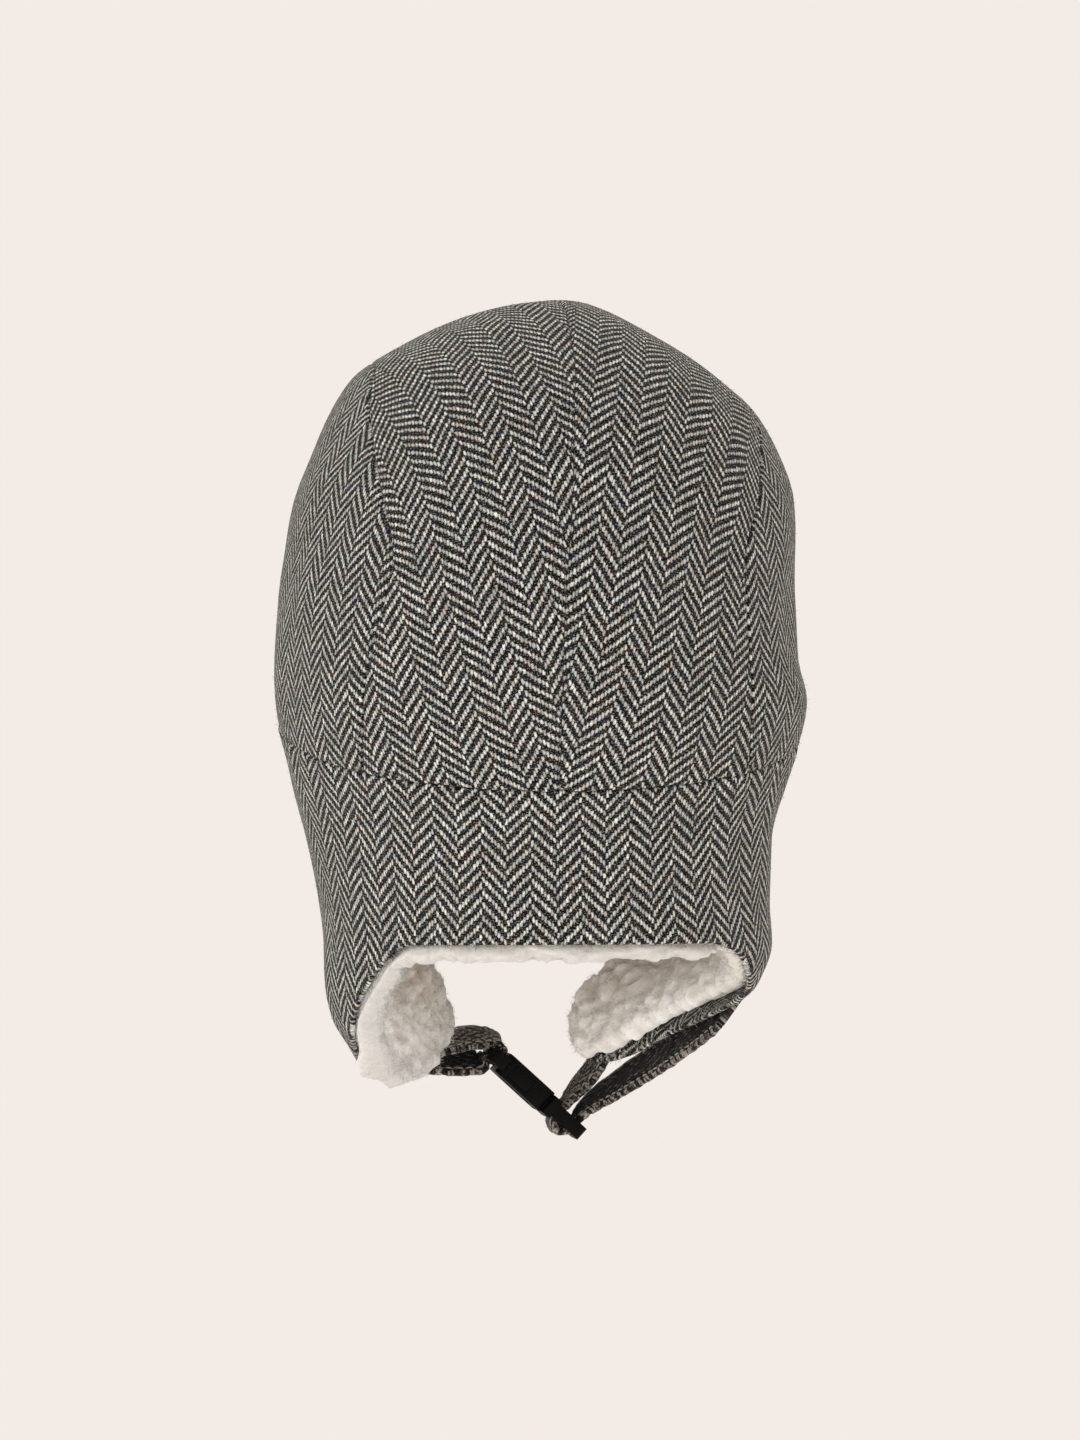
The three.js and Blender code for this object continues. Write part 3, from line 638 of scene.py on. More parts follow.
@dataclass(frozen=True)
class Fibres:
    """Loose curled fibres that stand out of a surface as narrow ribbons.

    Attributes:
        count: how many there are.
        length: their usual length.
        width: their usual width at the root.
        lift: how steeply they rise, 0 being flat.
        curl: how much they turn from one station to the next.
        seed: their own seed.
        stations: pairs of points along each.
        sunk: how deep the root lies under the surface.
        tip: the tip's width as a share of the root's.
        droop: how much of the curl bends a fibre back to the surface.
    """

    count: int
    length: float
    width: float
    lift: float
    curl: float
    seed: int
    stations: int = 4
    sunk: float = 0.3
    tip: float = 0.25
    droop: float = 0.3

    def add(self, shape: Shape, skin: Array, outward: Array, pairs: Array) -> None:
        """Adds the fibres to a mesh.

        Args:
            shape: the mesh.
            skin: the grid of points that they grow from.
            outward: roughly which way is out, at each point.
            pairs: the values that the material reads there.
        """
        rng = np.random.default_rng(self.seed)
        i = rng.integers(0, skin.shape[0] - 1, self.count)
        j = rng.integers(0, skin.shape[1] - 1, self.count)
        s, t = rng.random((2, self.count, 1))
        root = (skin[i, j] * (1 - s) + skin[i + 1, j] * s) * (1 - t)
        root = root + (skin[i, j + 1] * (1 - s) + skin[i + 1, j + 1] * s) * t
        face = unit(np.cross(skin[i + 1, j] - skin[i, j], skin[i, j + 1] - skin[i, j]))
        face = face * np.sign((face * outward[i, j]).sum(-1, keepdims=True))
        lift = self.lift * rng.uniform(0.3, 1.3, (self.count, 1))
        heading = unit(face * lift + unit(rng.normal(size=(self.count, 3))))
        turn = unit(np.cross(heading, unit(rng.normal(size=(self.count, 3)))))
        wide = unit(np.cross(heading, turn)) * self.width * rng.uniform(0.35, 0.7, (self.count, 1))
        step = self.length * rng.uniform(0.55, 1.25, (self.count, 1)) / (self.stations - 1)
        place = root - face * self.sunk
        edges = []
        for taper in np.linspace(1.0, self.tip, self.stations):
            edges += [place - wide * taper, place + wide * taper]
            place = place + heading * step
            heading = unit(heading + turn * self.curl - face * self.curl * self.droop)
        first = 2 * np.arange(self.stations - 1)[:, None]
        quads = first + np.array([0, 1, 3, 2])
        faces = np.arange(self.count)[:, None, None] * 2 * self.stations + quads
        shape.add(np.stack(edges, 1), faces, np.repeat(pairs[i, j], 2 * self.stations, axis=0))


def operator(operation: str, swapped: bool = False) -> Callable[["Wire", Any], "Wire"]:
    """One of a wire's operators, as a Math node.

    Args:
        operation: the node's operation.
        swapped: whether the other value comes first, as the reflected forms need.

    Returns:
        The method.
    """

    def apply(wire: "Wire", other: Any) -> "Wire":
        """Adds the node."""
        values = (other, wire) if swapped else (wire, other)
        return wire.graph.math(operation, *values)

    return apply


class Wire:
    """A socket of a material's node tree, whose operators add Math nodes."""

    def __init__(self, graph: "Graph", socket: bpy.types.NodeSocket) -> None:
        """Keeps the socket and its graph."""
        self.graph = graph
        self.socket = socket

    __add__ = __radd__ = operator("ADD")
    __sub__ = operator("SUBTRACT")
    __rsub__ = operator("SUBTRACT", swapped=True)
    __mul__ = __rmul__ = operator("MULTIPLY")
    __truediv__ = operator("DIVIDE")
    __pow__ = operator("POWER")
    __mod__ = operator("FLOORED_MODULO")
    __lt__ = operator("LESS_THAN")
    __gt__ = operator("GREATER_THAN")

    def floor(self) -> "Wire":
        """The whole number below."""
        return self.graph.math("FLOOR", self)

    def at_most(self, limit: float) -> "Wire":
        """The value, or the limit where that is smaller."""
        return self.graph.math("MINIMUM", self, limit)


Value = Wire | float | tuple[float, ...]


class Graph:
    """A material's node tree."""

    def __init__(self, name: str) -> None:
        """Makes the material with a bare tree."""
        self.material = bpy.data.materials.new(name)
        self.material.use_nodes = True
        self.tree = self.material.node_tree
        self.tree.nodes.clear()

    def node(self, kind: str, settings: dict[str, Any] | None = None,
             inputs: dict[str | int, Value] | None = None) -> bpy.types.Node:
        """Adds a node.

        Args:
            kind: its type, without the words ShaderNode in front.
            settings: what is set on the node itself first.
            inputs: values or wires for its input sockets.

        Returns:
            The node.
        """
        made = self.tree.nodes.new("ShaderNode" + kind)
        for name, value in (settings or {}).items():
            setattr(made, name, value)
        for name, value in (inputs or {}).items():
            socket = made.inputs[name]
            if isinstance(value, Wire):
                self.tree.links.new(value.socket, socket)
            else:
                socket.default_value = value
        return made

    def wire(self, made: bpy.types.Node, output: str | int = 0) -> Wire:
        """One of a node's outputs."""
        return Wire(self, made.outputs[output])

    def math(self, operation: str, *values: Value) -> Wire:
        """A Math node on up to three values."""
        return self.wire(self.node("Math", {"operation": operation}, dict(enumerate(values))))

    def mix(self, factor: Value, first: Value, second: Value) -> Wire:
        """A mix of two colours."""
        return self.wire(self.node("Mix", {"data_type": "RGBA"}, {0: factor, 6: first, 7: second}), 2)

    def toned(self, colour: Value, tone: Value) -> Wire:
        """A colour made darker or lighter."""
        return self.wire(self.node("VectorMath", {"operation": "SCALE"}, {0: colour, "Scale": tone}))

    def pair(self, attribute: str) -> tuple[Wire, Wire, Wire]:
        """The pair of values that a mesh keeps for each point: as one vector, and one by one."""
        settings = {"attribute_type": "GEOMETRY", "attribute_name": attribute}
        both = self.wire(self.node("Attribute", settings), "Vector")
        parts = self.node("SeparateXYZ", None, {0: both})
        return both, self.wire(parts, 0), self.wire(parts, 1)

    def drift(self, place: Value, scale: float, reach: float) -> tuple[Wire, Wire]:
        """Two smooth shifts that lie between plus and minus half the reach."""
        made = self.node("TexNoise", None, {"Vector": place, "Scale": scale, "Detail": 3.0})
        parts = self.node("SeparateColor", None, {0: self.wire(made, "Color")})
        return (self.wire(parts, 0) - 0.5) * reach, (self.wire(parts, 1) - 0.5) * reach

    def bump(self, height: Value, strength: float, depth: float) -> Wire:
        """A normal roughened by a height, whose depth is in millimetres."""
        inputs = {"Strength": strength, "Distance": depth * MM, "Height": height}
        return self.wire(self.node("Bump", None, inputs))

    def noise(self, place: Value, scale: float, detail: float = 2.0) -> Wire:
        """Smooth noise between 0 and 1."""
        return self.wire(self.node("TexNoise", None, {"Vector": place, "Scale": scale, "Detail": detail}))

    def chance(self, *numbers: Value) -> Wire:
        """A random number between 0 and 1 that belongs to a set of whole numbers."""
        place = self.wire(self.node("CombineXYZ", None, dict(enumerate(numbers))))
        return self.wire(self.node("TexWhiteNoise", {"noise_dimensions": "3D"}, {"Vector": place}))

    def finish(self, shader: dict[str, Value]) -> bpy.types.Material:
        """Adds the surface shader with these inputs and the output."""
        surface = self.node("BsdfPrincipled", None, shader)
        self.node("OutputMaterial", None, {"Surface": self.wire(surface)})
        return self.material


@dataclass(frozen=True)
class Fleck:
    """A colour that some of the threads take.

    Attributes:
        colour: the colour.
        limit: the chance value, from 0 to 1, above or below which a thread takes it.
        strength: how much of it the thread takes.
    """

    colour: Colour
    limit: float
    strength: float


@dataclass(frozen=True)
class Weave:
    """What a 2/2 twill that turns back after each column shows at a point of the cloth.

    Attributes:
        x: the place across the warp, in threads.
        y: the place along it.
        warp_up: 1 where a warp thread lies on top, 0 where a weft thread does.
        warp_round: how high the warp thread is there, from 0 to 1.
        weft_round: how high the weft thread is there.
        float_number: the number of the stretch that lies on top, along its thread.
        pick: the number of the weft thread.
    """

    x: Wire
    y: Wire
    warp_up: Wire
    warp_round: Wire
    weft_round: Wire
    float_number: Wire
    pick: Wire


@dataclass(frozen=True)
class TweedFinish:
    """Herringbone tweed of pale warp threads and dark weft threads.

    Attributes:
        name: the material's name.
        light: the warp's colour.
        dark: the weft's colour.
        rust, slate, moss: the colours of some warp threads.
        navy, brown: the colours of some weft threads.
        stray: loose pale fibres.
        pitch: millimetres from thread to thread.
        column: warp threads in a column.
        wander, wander_scale: how far the threads stray over long stretches.
        tremble, tremble_scale: how far they stray over short ones.
        slant: how far a warp thread's crest runs to one side along its float.
        speckle: how strongly pale and dark dots cover the weave.
        relief: the depth of the threads in millimetres.
    """

    name: str
    light: Colour = (0.69, 0.71, 0.67, 1)
    dark: Colour = (0.0055, 0.0057, 0.0053, 1)
    rust: Fleck = Fleck((0.56, 0.44, 0.385, 1), 0.70, 0.55)
    slate: Fleck = Fleck((0.40, 0.45, 0.50, 1), 0.12, 0.6)
    moss: Fleck = Fleck((0.46, 0.54, 0.44, 1), 0.14, 0.5)
    navy: Fleck = Fleck((0.011, 0.014, 0.032, 1), 0.74, 0.5)
    brown: Fleck = Fleck((0.038, 0.018, 0.013, 1), 0.22, 0.4)
    stray: tuple[float, float] = (0.585, 0.26)
    pitch: float = 1.08
    column: int = 8
    wander: float = 1.2
    wander_scale: float = 0.12
    tremble: float = 1.15
    tremble_scale: float = 0.7
    slant: float = 0.22
    speckle: float = 0.0
    relief: float = 0.4

    def weave(self, g: Graph, cloth: Wire, across_warp: Wire, along_warp: Wire) -> Weave:
        """Works out which thread lies on top, and how high.

        Args:
            g: the material's graph.
            cloth: the place on the cloth, as a vector.
            across_warp: the same place across the warp, in millimetres.
            along_warp: and along it.

        Returns:
            What the weave shows there.
        """
        drift_x, drift_y = g.drift(cloth, self.wander_scale, self.wander)
        shake_x, shake_y = g.drift(cloth, self.tremble_scale, self.tremble)
        x = (across_warp + (drift_x + shake_x)) / self.pitch
        y = (along_warp + (drift_y + shake_y)) / self.pitch
        column = (x / self.column).floor()
        in_column = x - column * self.column
        turned = column % 2
        across = in_column + turned * (self.column - in_column * 2)
        end, pick = across.floor(), y.floor()
        beside, ahead = across - end, y - pick
        row = end + pick + turned * 2
        step = row % 4
        warp_long = (step + ahead) / 2
        weft_long = (step - 2 + beside) / 2
        tilted = g.math("FRACT", beside + (warp_long - 0.5) * self.slant + 1)
        warp_round = self._hump(tilted) ** 0.8 * self._hump(warp_long) ** 0.6
        weft_round = self._hump(ahead) * self._hump(weft_long)
        return Weave(x, y, step < 2, warp_round, weft_round, (row / 4).floor(), pick)

    @staticmethod
    def _hump(share: Wire) -> Wire:
        """0 at both ends of a thread's width or length, 1 in its middle."""
        return share * (1 - share) * 4

    def threads(self, g: Graph, weave: Weave, hairs: Wire) -> Wire:
        """The colour of the thread on top, with painted shade that darkens each warp float towards its edges
        and ends.

        Args:
            g: the material's graph.
            weave: what the weave shows.
            hairs: fine noise, for the hairs of the wool.

        Returns:
            The colour.
        """
        end = weave.x.floor()
        bead = g.chance(end, weave.float_number, 1.0)
        kind = g.chance(end, weave.float_number, 5.0)
        run = g.chance(end, (weave.y / 6).floor(), 3.0)
        second = g.chance(weave.pick, (weave.x / 4).floor(), 7.0)
        rust, slate, moss, navy, brown = self.rust, self.slate, self.moss, self.navy, self.brown
        warp = g.mix((kind * 0.6 + run * 0.4 > rust.limit) * rust.strength, self.light, rust.colour)
        warp = g.mix((kind < slate.limit) * slate.strength, warp, slate.colour)
        warp = g.mix((run < moss.limit) * moss.strength, warp, moss.colour)
        weft = g.mix((second > navy.limit) * navy.strength, self.dark, navy.colour)
        weft = g.mix((second < brown.limit) * brown.strength, weft, brown.colour)
        wool = g.math("MAXIMUM", hairs * 2.6 - 0.35, 0.15)
        # Painted shade: the warp's tone falls to 0.08 at the edges and ends of each float, besides its
        # random bead and wool tones.
        warp_tone_and_shade = (0.62 + bead * 0.6) * wool * (0.08 + weave.warp_round * 0.92)
        weft_tone = hairs * hairs * 3.2 + 0.2
        share = weave.warp_up * (weave.warp_round * 2.2).at_most(1.0)
        return g.mix(share, g.toned(weft, weft_tone), g.toned(warp, warp_tone_and_shade))

    def material(self) -> Material:
        """Builds the cloth's material, which reads the mesh's places on the cloth."""
        g = Graph(self.name)
        cloth, across_warp, along_warp = g.pair(CLOTH)
        weave = self.weave(g, cloth, across_warp, along_warp)
        hairs = g.noise(cloth, 2.2, 4.0)
        colour = self.threads(g, weave, hairs)
        colour = g.mix((g.noise(cloth, 1.9, 5.0) > self.stray[0]) * self.stray[1], colour, self.light)
        spot = g.chance((weave.x * 1.5).floor(), (weave.y * 1.5).floor(), 9.0)
        colour = g.mix((spot > 0.80) * self.speckle, colour, self.light)
        colour = g.mix((spot < 0.45) * self.speckle, colour, self.brown.colour)
        patch = g.noise(cloth, 0.16, 3.0)
        warp_height = weave.warp_up * (0.25 + weave.warp_round * 0.75)
        height = warp_height + (1 - weave.warp_up) * weave.weft_round * 0.55
        return g.finish({
            "Base Color": g.toned(colour, 0.95 + patch * 0.30),
            "Roughness": 0.95,
            "Specular IOR Level": 0.06,
            "Sheen Weight": 0.06,
            "Sheen Roughness": 0.5,
            "Normal": g.bump(height * 0.8 + hairs * 0.55, 1.0, self.relief),
        })


@dataclass(frozen=True)
class FleeceFinish:
    """Curly off-white pile, pale on its clumps, with painted shade: beige in the creases between them and
    deeper inside, a darker grey on its free edges, and a painted glow on its inner face.
    """

    name: str
    pale: Colour = (0.91, 0.895, 0.87, 1)
    # deep: the beige of the painted shade in the creases and deeper inside the hat.
    deep: Colour = (0.66, 0.59, 0.50, 1)
    # edge: the darker grey of the painted shade on the free edges, which face the lamps.
    edge: Colour = (0.655, 0.66, 0.65, 1)
    # The strength of a painted glow on the pile's inner face, which brightens it though it is no lamp.
    painted_glow: float = 0.26

    def material(self) -> Material:
        """Builds the pile's material, which reads each point's painted light and how much of the edge's
        painted shade it takes.
        """
        g = Graph(self.name)
        _, painted_light_share, edge_painted_shade = g.pair(PILE)
        place = g.wire(g.node("TexCoord"), "Object")
        mottle = g.noise(place, 160.0, 3.0)
        coarse = g.noise(place, 420.0, 3.0)
        fine = g.noise(place, 1500.0, 2.0)
        # Painted shade: beige where the painted light is low, in the creases and deeper inside, mixed with a
        # random mottle.
        paleness = (painted_light_share * 1.1 + mottle * 0.5 - 0.25).at_most(1.0)
        inside = g.mix(paleness, self.deep, self.pale)
        # Painted shade: a darker grey over the free edges.
        colour = g.mix(edge_painted_shade, inside, self.edge)
        relief = mottle * 1.6 + coarse * 1.3 + fine * 0.5
        return g.finish({
            "Base Color": g.toned(colour, 0.94 + coarse * 0.1),
            "Roughness": 1.0,
            "Specular IOR Level": 0.05,
            # Painted light: the inner face glows in its own shaded colour, most where its painted light is
            # strongest, and not on the free edges.
            "Emission Color": g.toned(inside, (1 - edge_painted_shade) * painted_light_share * painted_light_share),
            "Emission Strength": self.painted_glow,
            "Subsurface Weight": 0.5,
            "Subsurface Radius": (0.004, 0.0036, 0.0032),
            "Subsurface Scale": 1.0,
            "Sheen Weight": 0.15,
            "Sheen Roughness": 0.6,
            "Normal": g.bump(relief, 0.8, 0.9),
        })


@dataclass(frozen=True)
class PlasticFinish:
    """Black moulded plastic with a fine matt grain and rubbed places."""

    name: str
    black: Colour = (0.001, 0.001, 0.0011, 1)
    rubbed: Colour = (0.004, 0.004, 0.0042, 1)

    def material(self) -> Material:
        """Builds the plastic's material."""
        g = Graph(self.name)
        place = g.wire(g.node("TexCoord"), "Object")
        rubbing = g.noise(place, 210.0, 4.0)
        return g.finish({
            "Base Color": g.mix(rubbing, self.black, self.rubbed),
            "Roughness": 0.42 + rubbing * 0.2,
            "Specular IOR Level": 0.08,
            "Normal": g.bump(g.noise(place, 5200.0, 2.0), 0.35, 0.12),
        })


@dataclass(frozen=True)
class PlainFinish:
    """One even colour with a faint mottle, for thread and for the studio."""

    name: str
    colour: Colour
    scale: float = 900.0
    shade: float = 0.96

    def material(self) -> Material:
        """Builds the material."""
        g = Graph(self.name)
        mottle = g.noise(g.wire(g.node("TexCoord"), "Object"), self.scale, 2.0)
        darker = tuple(self.shade * c for c in self.colour[:3]) + (1.0,)
        return g.finish({"Base Color": g.mix(mottle, darker, self.colour), "Roughness": 0.9})


HAIR = Fibres(count=1800, length=1.7, width=0.13, lift=0.35, curl=0.5, seed=17)
FRINGE = Fibres(count=4000, length=2.6, width=0.2, lift=0.5, curl=0.4, seed=19)
STRAP_HAIR = Fibres(count=900, length=1.5, width=0.13, lift=0.4, curl=0.5, seed=23)
PILE_FIBRES = Fibres(count=12000, length=2.6, width=0.17, lift=0.5, curl=0.9, seed=9)


@dataclass
class TweedPiece:
    """One cut and sewn piece of tweed.

    Attributes:
        name: the piece's name.
        place: gives points of the hat at the piece's columns and rows.
        columns, rows: the piece's range of both.
        grain: how it is cut from the cloth.
        steps: the mesh's divisions both ways.
        coarse: the points of the coarser grid that is laid flat.
        hair: the loose hairs on it.
        fringe: the fibres that stand out of its hem, if it has them.
        edges: how deep each of the four edges is rolled in.
        puckered: which of them are gathered by their seam.
        roll_width: how far in from an edge the cloth rolls.
        lumps, pucker: the relief of the whole piece and of its gathered seams.
        flat_reach, pucker_reach: how far from an edge the first starts and the second ends.
        hem_columns: columns of the grid from which the fringe grows.
        thinnest: what a rolled edge keeps of half the cloth's thickness.
    """

    name: str
    place: Callable[[Array, Array], Array]
    columns: tuple[float, float]
    rows: tuple[float, float]
    grain: Grain
    steps: tuple[int, int] = (38, 180)
    coarse: tuple[int, int] = (15, 61)
    hair: Fibres = HAIR
    fringe: Fibres | None = None
    edges: tuple[float, float, float, float] = (0.6, 0.6, 0.9, 0.9)
    puckered: tuple[bool, bool, bool, bool] = (False, False, True, True)
    roll_width: float = 1.5
    lumps: Relief = Relief(34.0, 0.33, 5)
    pucker: Relief = Relief(8.0, 0.42, 11)
    flat_reach: float = 6.0
    pucker_reach: float = 6.0
    hem_columns: int = 9
    thinnest: float = 0.1

    def surface(self) -> tuple[Array, Array]:
        """The piece's grid on the hat and on the cloth.

        Returns:
            Points on the outer surface, and places on the cloth.
        """
        u, v = crowded(*self.columns, self.steps[0]), crowded(*self.rows, self.steps[1])
        points = self.place(*np.meshgrid(u, v, indexing="ij"))
        coarse_u = np.linspace(*self.columns, self.coarse[0])
        coarse_v = np.linspace(*self.rows, self.coarse[1])
        coarse = self.grain.threads(self.place(*np.meshgrid(coarse_u, coarse_v, indexing="ij")))
        share_u = (u - self.columns[0]) / (self.columns[1] - self.columns[0])
        share_v = (v - self.rows[0]) / (self.rows[1] - self.rows[0])
        return points, between(coarse, share_u, share_v)

    def build(self, material: Material) -> Piece:
        """Builds the piece as a closed sheet with rolled and puckered seams.

        Args:
            material: the tweed.

        Returns:
            The piece.
        """
        points, threads = self.surface()
        normal = FORM.normal(points)
        lines = (points[:1], points[-1:], points[:, :1], points[:, -1:])
        inset = np.zeros(points.shape[:2])
        swell = self.lumps.at(points)
        for distance, line, depth, ripples in zip(edge_distances(points), lines, self.edges, self.puckered):
            inset = np.maximum(inset, depth * roll(distance, self.roll_width))
            swell = swell * (1 - np.exp(-distance / self.flat_reach))
            if ripples:
                swell = swell + self.pucker.at(line) * np.exp(-distance / self.pucker_reach)
        back = TWEED - np.minimum(inset, TWEED / 2 - self.thinnest) * 0.5
        outer = points - normal * (inset - swell)[..., None]
        inner = points - normal * (back - swell)[..., None]
        shape = Shape()
        shape.sheet(outer, inner, threads)
        self.hair.add(shape, outer, normal, threads)
        if self.fringe:
            hem = np.s_[:, -self.hem_columns:]
            self.fringe.add(shape, inner[hem], -normal[hem], threads[hem])
        return shape.build(self.name, CLOTH, [material])


SCATTER = 0.48  # how far a clump's middle strays from an even grid, in steps of that grid
SCATTER_DEPTH = 0.12  # how far it strays besides, in clump sizes
DOME_REACH = 0.85  # how far a clump reaches from its middle, in clump sizes
CREASE_REACH = 0.45  # how much nearer one middle is than the next where a crease ends, in clump sizes
PAIRS_AT_ONCE = 4_000_000  # distances worked out in one go, which limits the memory that they take


def no_hang(across: Array, along: Array) -> Array:
    """A lining that ends where its tweed does."""
    return np.zeros_like(across)


@dataclass
class FleecePiece:
    """One piece of the pile lining: a closed sheet with soft clumps on its inner side and loose fibres.

    Attributes:
        name: the piece's name.
        place: gives points of the hat at the piece's columns and rows.
        columns, rows: the piece's range of both.
        thick: the fleece's thickness.
        ease: room between it and the tweed, besides the gap.
        steps: the mesh's divisions both ways.
        rounded: which of the four edges are free and round.
        seed: the clumps' seed.
        hang: how far the fleece hangs past the tweed's hem.
        fibres: the number of loose fibres.
        clump, clump_height: width and height of the clumps.
        curl, curl_height: width and height of the curls on them.
        crowding: how much closer together the grid's lines lie at its edges.
        rim, rim_push: how far in a free edge is rounded, and how far it bulges out.
        spill, spill_out: how far past the tweed's hem it has swollen out, and how far out that is.
        rim_pile, rim_back: where the two skins end at a free edge, as shares of the thickness.
        fold_in: how much of the relief an edge's outer skin takes.
        thinnest: the least thickness.
        crease_shade_parts: the painted light of every point, of one out of the clumps' creases and of the
            curls', which paints shade into the creases.
        lit_parts: how much of that painted light comes in from anywhere, from below and from the nape's
            opening, which paints shade higher up and further forward inside.
        shade_from, shade_reach: the height and depth where the painted shade starts to get lighter, and over
            what lengths.
        fibre_tip_light: how much more painted light the loose fibres take.
        rim_shade_parts: what a free edge takes of its darker colour, a painted shade, what a hanging one
            takes besides, and its hang.
    """

    name: str
    place: Callable[[Array, Array], Array]
    columns: tuple[float, float]
    rows: tuple[float, float]
    thick: float
    ease: float
    steps: tuple[int, int]
    rounded: tuple[bool, bool, bool, bool]
    seed: int
    hang: Callable[[Array, Array], Array] = no_hang
    fibres: int = 12000
    clump: float = 8.5
    clump_height: float = 1.9
    curl: float = 3.4
    curl_height: float = 1.0
    crowding: float = 0.5
    rim: float = 6.0
    rim_push: float = 1.0
    spill: float = 2.5
    spill_out: float = 0.4
    rim_pile: float = 0.5
    rim_back: float = 0.4
    fold_in: float = 0.6
    thinnest: float = 0.7
    crease_shade_parts: tuple[float, float, float] = (0.54, 0.28, 0.18)
    lit_parts: tuple[float, float, float] = (0.08, 0.68, 0.42)
    shade_from: tuple[float, float] = (-216.0, -80.0)
    shade_reach: tuple[float, float] = (30.0, 70.0)
    fibre_tip_light: float = 0.2
    rim_shade_parts: tuple[float, float, float] = (0.3, 0.7, 3.0)

    def cells(self, points: Array, size: float, seed: int) -> tuple[Array, Array]:
        """Distances to the nearest two of a scatter of places.

        Args:
            points: a grid of points.
            size: the usual distance between the places.
            seed: the scatter's seed.

        Returns:
            The distances to the nearest and to the second nearest place.
        """
        rng = np.random.default_rng(seed)
        wide = grid_lengths(points, 0)[-1].mean()
        long = grid_lengths(points, 1)[:, -1].mean()
        m, n = max(int(wide / size), 2), max(int(long / size), 2)
        u, v = np.meshgrid((np.arange(m) + 0.5) / m, (np.arange(n) + 0.5) / n, indexing="ij")
        u = np.clip(u + rng.uniform(-SCATTER, SCATTER, u.shape) / m, 0, 1) * (points.shape[0] - 1)
        v = np.clip(v + rng.uniform(-SCATTER, SCATTER, v.shape) / n, 0, 1) * (points.shape[1] - 1)
        seeds = points[u.astype(int), v.astype(int)].reshape(-1, 3)
        seeds = seeds + rng.normal(0, size * SCATTER_DEPTH, seeds.shape)
        flat = points.reshape(-1, 3)
        nearest = []
        for part in np.array_split(flat, max(len(flat) * len(seeds) // PAIRS_AT_ONCE, 1)):
            apart = np.linalg.norm(part[:, None] - seeds[None], axis=-1)
            nearest.append(np.partition(apart, 1, axis=1)[:, :2])
        both = np.concatenate(nearest)
        return both[:, 0].reshape(points.shape[:2]), both[:, 1].reshape(points.shape[:2])

    def tufts(self, points: Array, size: float, seed: int) -> tuple[Array, Array]:
        """Soft domes, and how far each point is out of the creases between them.

        Args:
            points: a grid of points.
            size: the usual distance between the domes.
            seed: their seed.

        Returns:
            The domes' height and how far each point is out of the creases, both from 0 to 1.
        """
        near, second = self.cells(points, size, seed)
        dome = 0.5 + 0.5 * np.cos(math.pi * np.clip(near / (size * DOME_REACH), 0, 1))
        return dome, np.clip((second - near) / (size * CREASE_REACH), 0, 1)

    def skins(self, points: Array, relief: Array, past_hem: Array) -> tuple[Array, Array]:
        """The sheet's two skins.

        Args:
            points: the hat's outer surface over the piece.
            relief: the height of the pile's clumps.
            past_hem: how far each point lies past the tweed's hem.

        Returns:
            The skin against the tweed and the skin of the pile.
        """
        distances = edge_distances(points)
        rims = [roll(distance, self.rim) for distance, free in zip(distances, self.rounded) if free]
        rim = np.maximum.reduce([np.zeros(points.shape[:2]), *rims])
        flare = np.clip(past_hem / self.spill, 0, 1)
        start = TWEED + GAP + self.ease
        pile = (start + self.thick - 0.6) * (1 - rim) + (start + self.thick * self.rim_pile) * rim
        pile = pile + relief * (1 - 0.5 * rim)
        back = (start * (1 - flare) - self.spill_out * flare) * (1 - rim)
        back = back + (start + self.thick * self.rim_back) * rim
        back = back - relief * np.maximum(flare, self.fold_in * rim**0.5)
        back = np.minimum(back, pile - self.thinnest)
        skirt = self.rim_way(points, distances) * (relief * 0.6 + self.rim_push)[..., None]
        normal = FORM.normal(points)
        return points - normal * back[..., None] + skirt, points - normal * pile[..., None] + skirt

    def finish_values(self, points: Array, crease: Array, fine_crease: Array, hanging: Array) -> Array:
        """How much painted light each point takes, with painted shade in the creases and deeper inside the
        hat, and how much it takes of the edge's colour, a painted shade.

        Args:
            points: the hat's outer surface over the piece.
            crease: how far each point is out of the clumps' creases.
            fine_crease: the same of the curls.
            hanging: how far the fleece hangs past the hem.

        Returns:
            The pairs of values.
        """
        always, in_clump, in_curl = self.crease_shade_parts
        anywhere, below, behind = self.lit_parts
        # Painted light: less in the creases between clumps and curls, and less higher up and further forward
        # inside the hat, which paints shade there.
        low = np.clip((self.shade_from[0] - points[..., 2]) / self.shade_reach[0], 0, 1)
        near = np.clip((points[..., 1] - self.shade_from[1]) / self.shade_reach[1], 0, 1)
        painted_light_share = always + in_clump * crease + in_curl * fine_crease
        painted_light_share = painted_light_share * (anywhere + below * low + behind * near)
        free = [distance for distance, rounds in zip(edge_distances(points), self.rounded) if rounds]
        if not free:
            return np.stack([painted_light_share, np.zeros_like(painted_light_share)], -1)
        # Painted shade: how much of the darker edge colour a point near a free edge takes, more where it
        # hangs past the hem.
        short, long, far = self.rim_shade_parts
        edge = np.exp(-((np.minimum.reduce(free) / self.rim) ** 2))
        return np.stack([painted_light_share, edge * (short + long * np.clip(hanging / far, 0, 1))], -1)

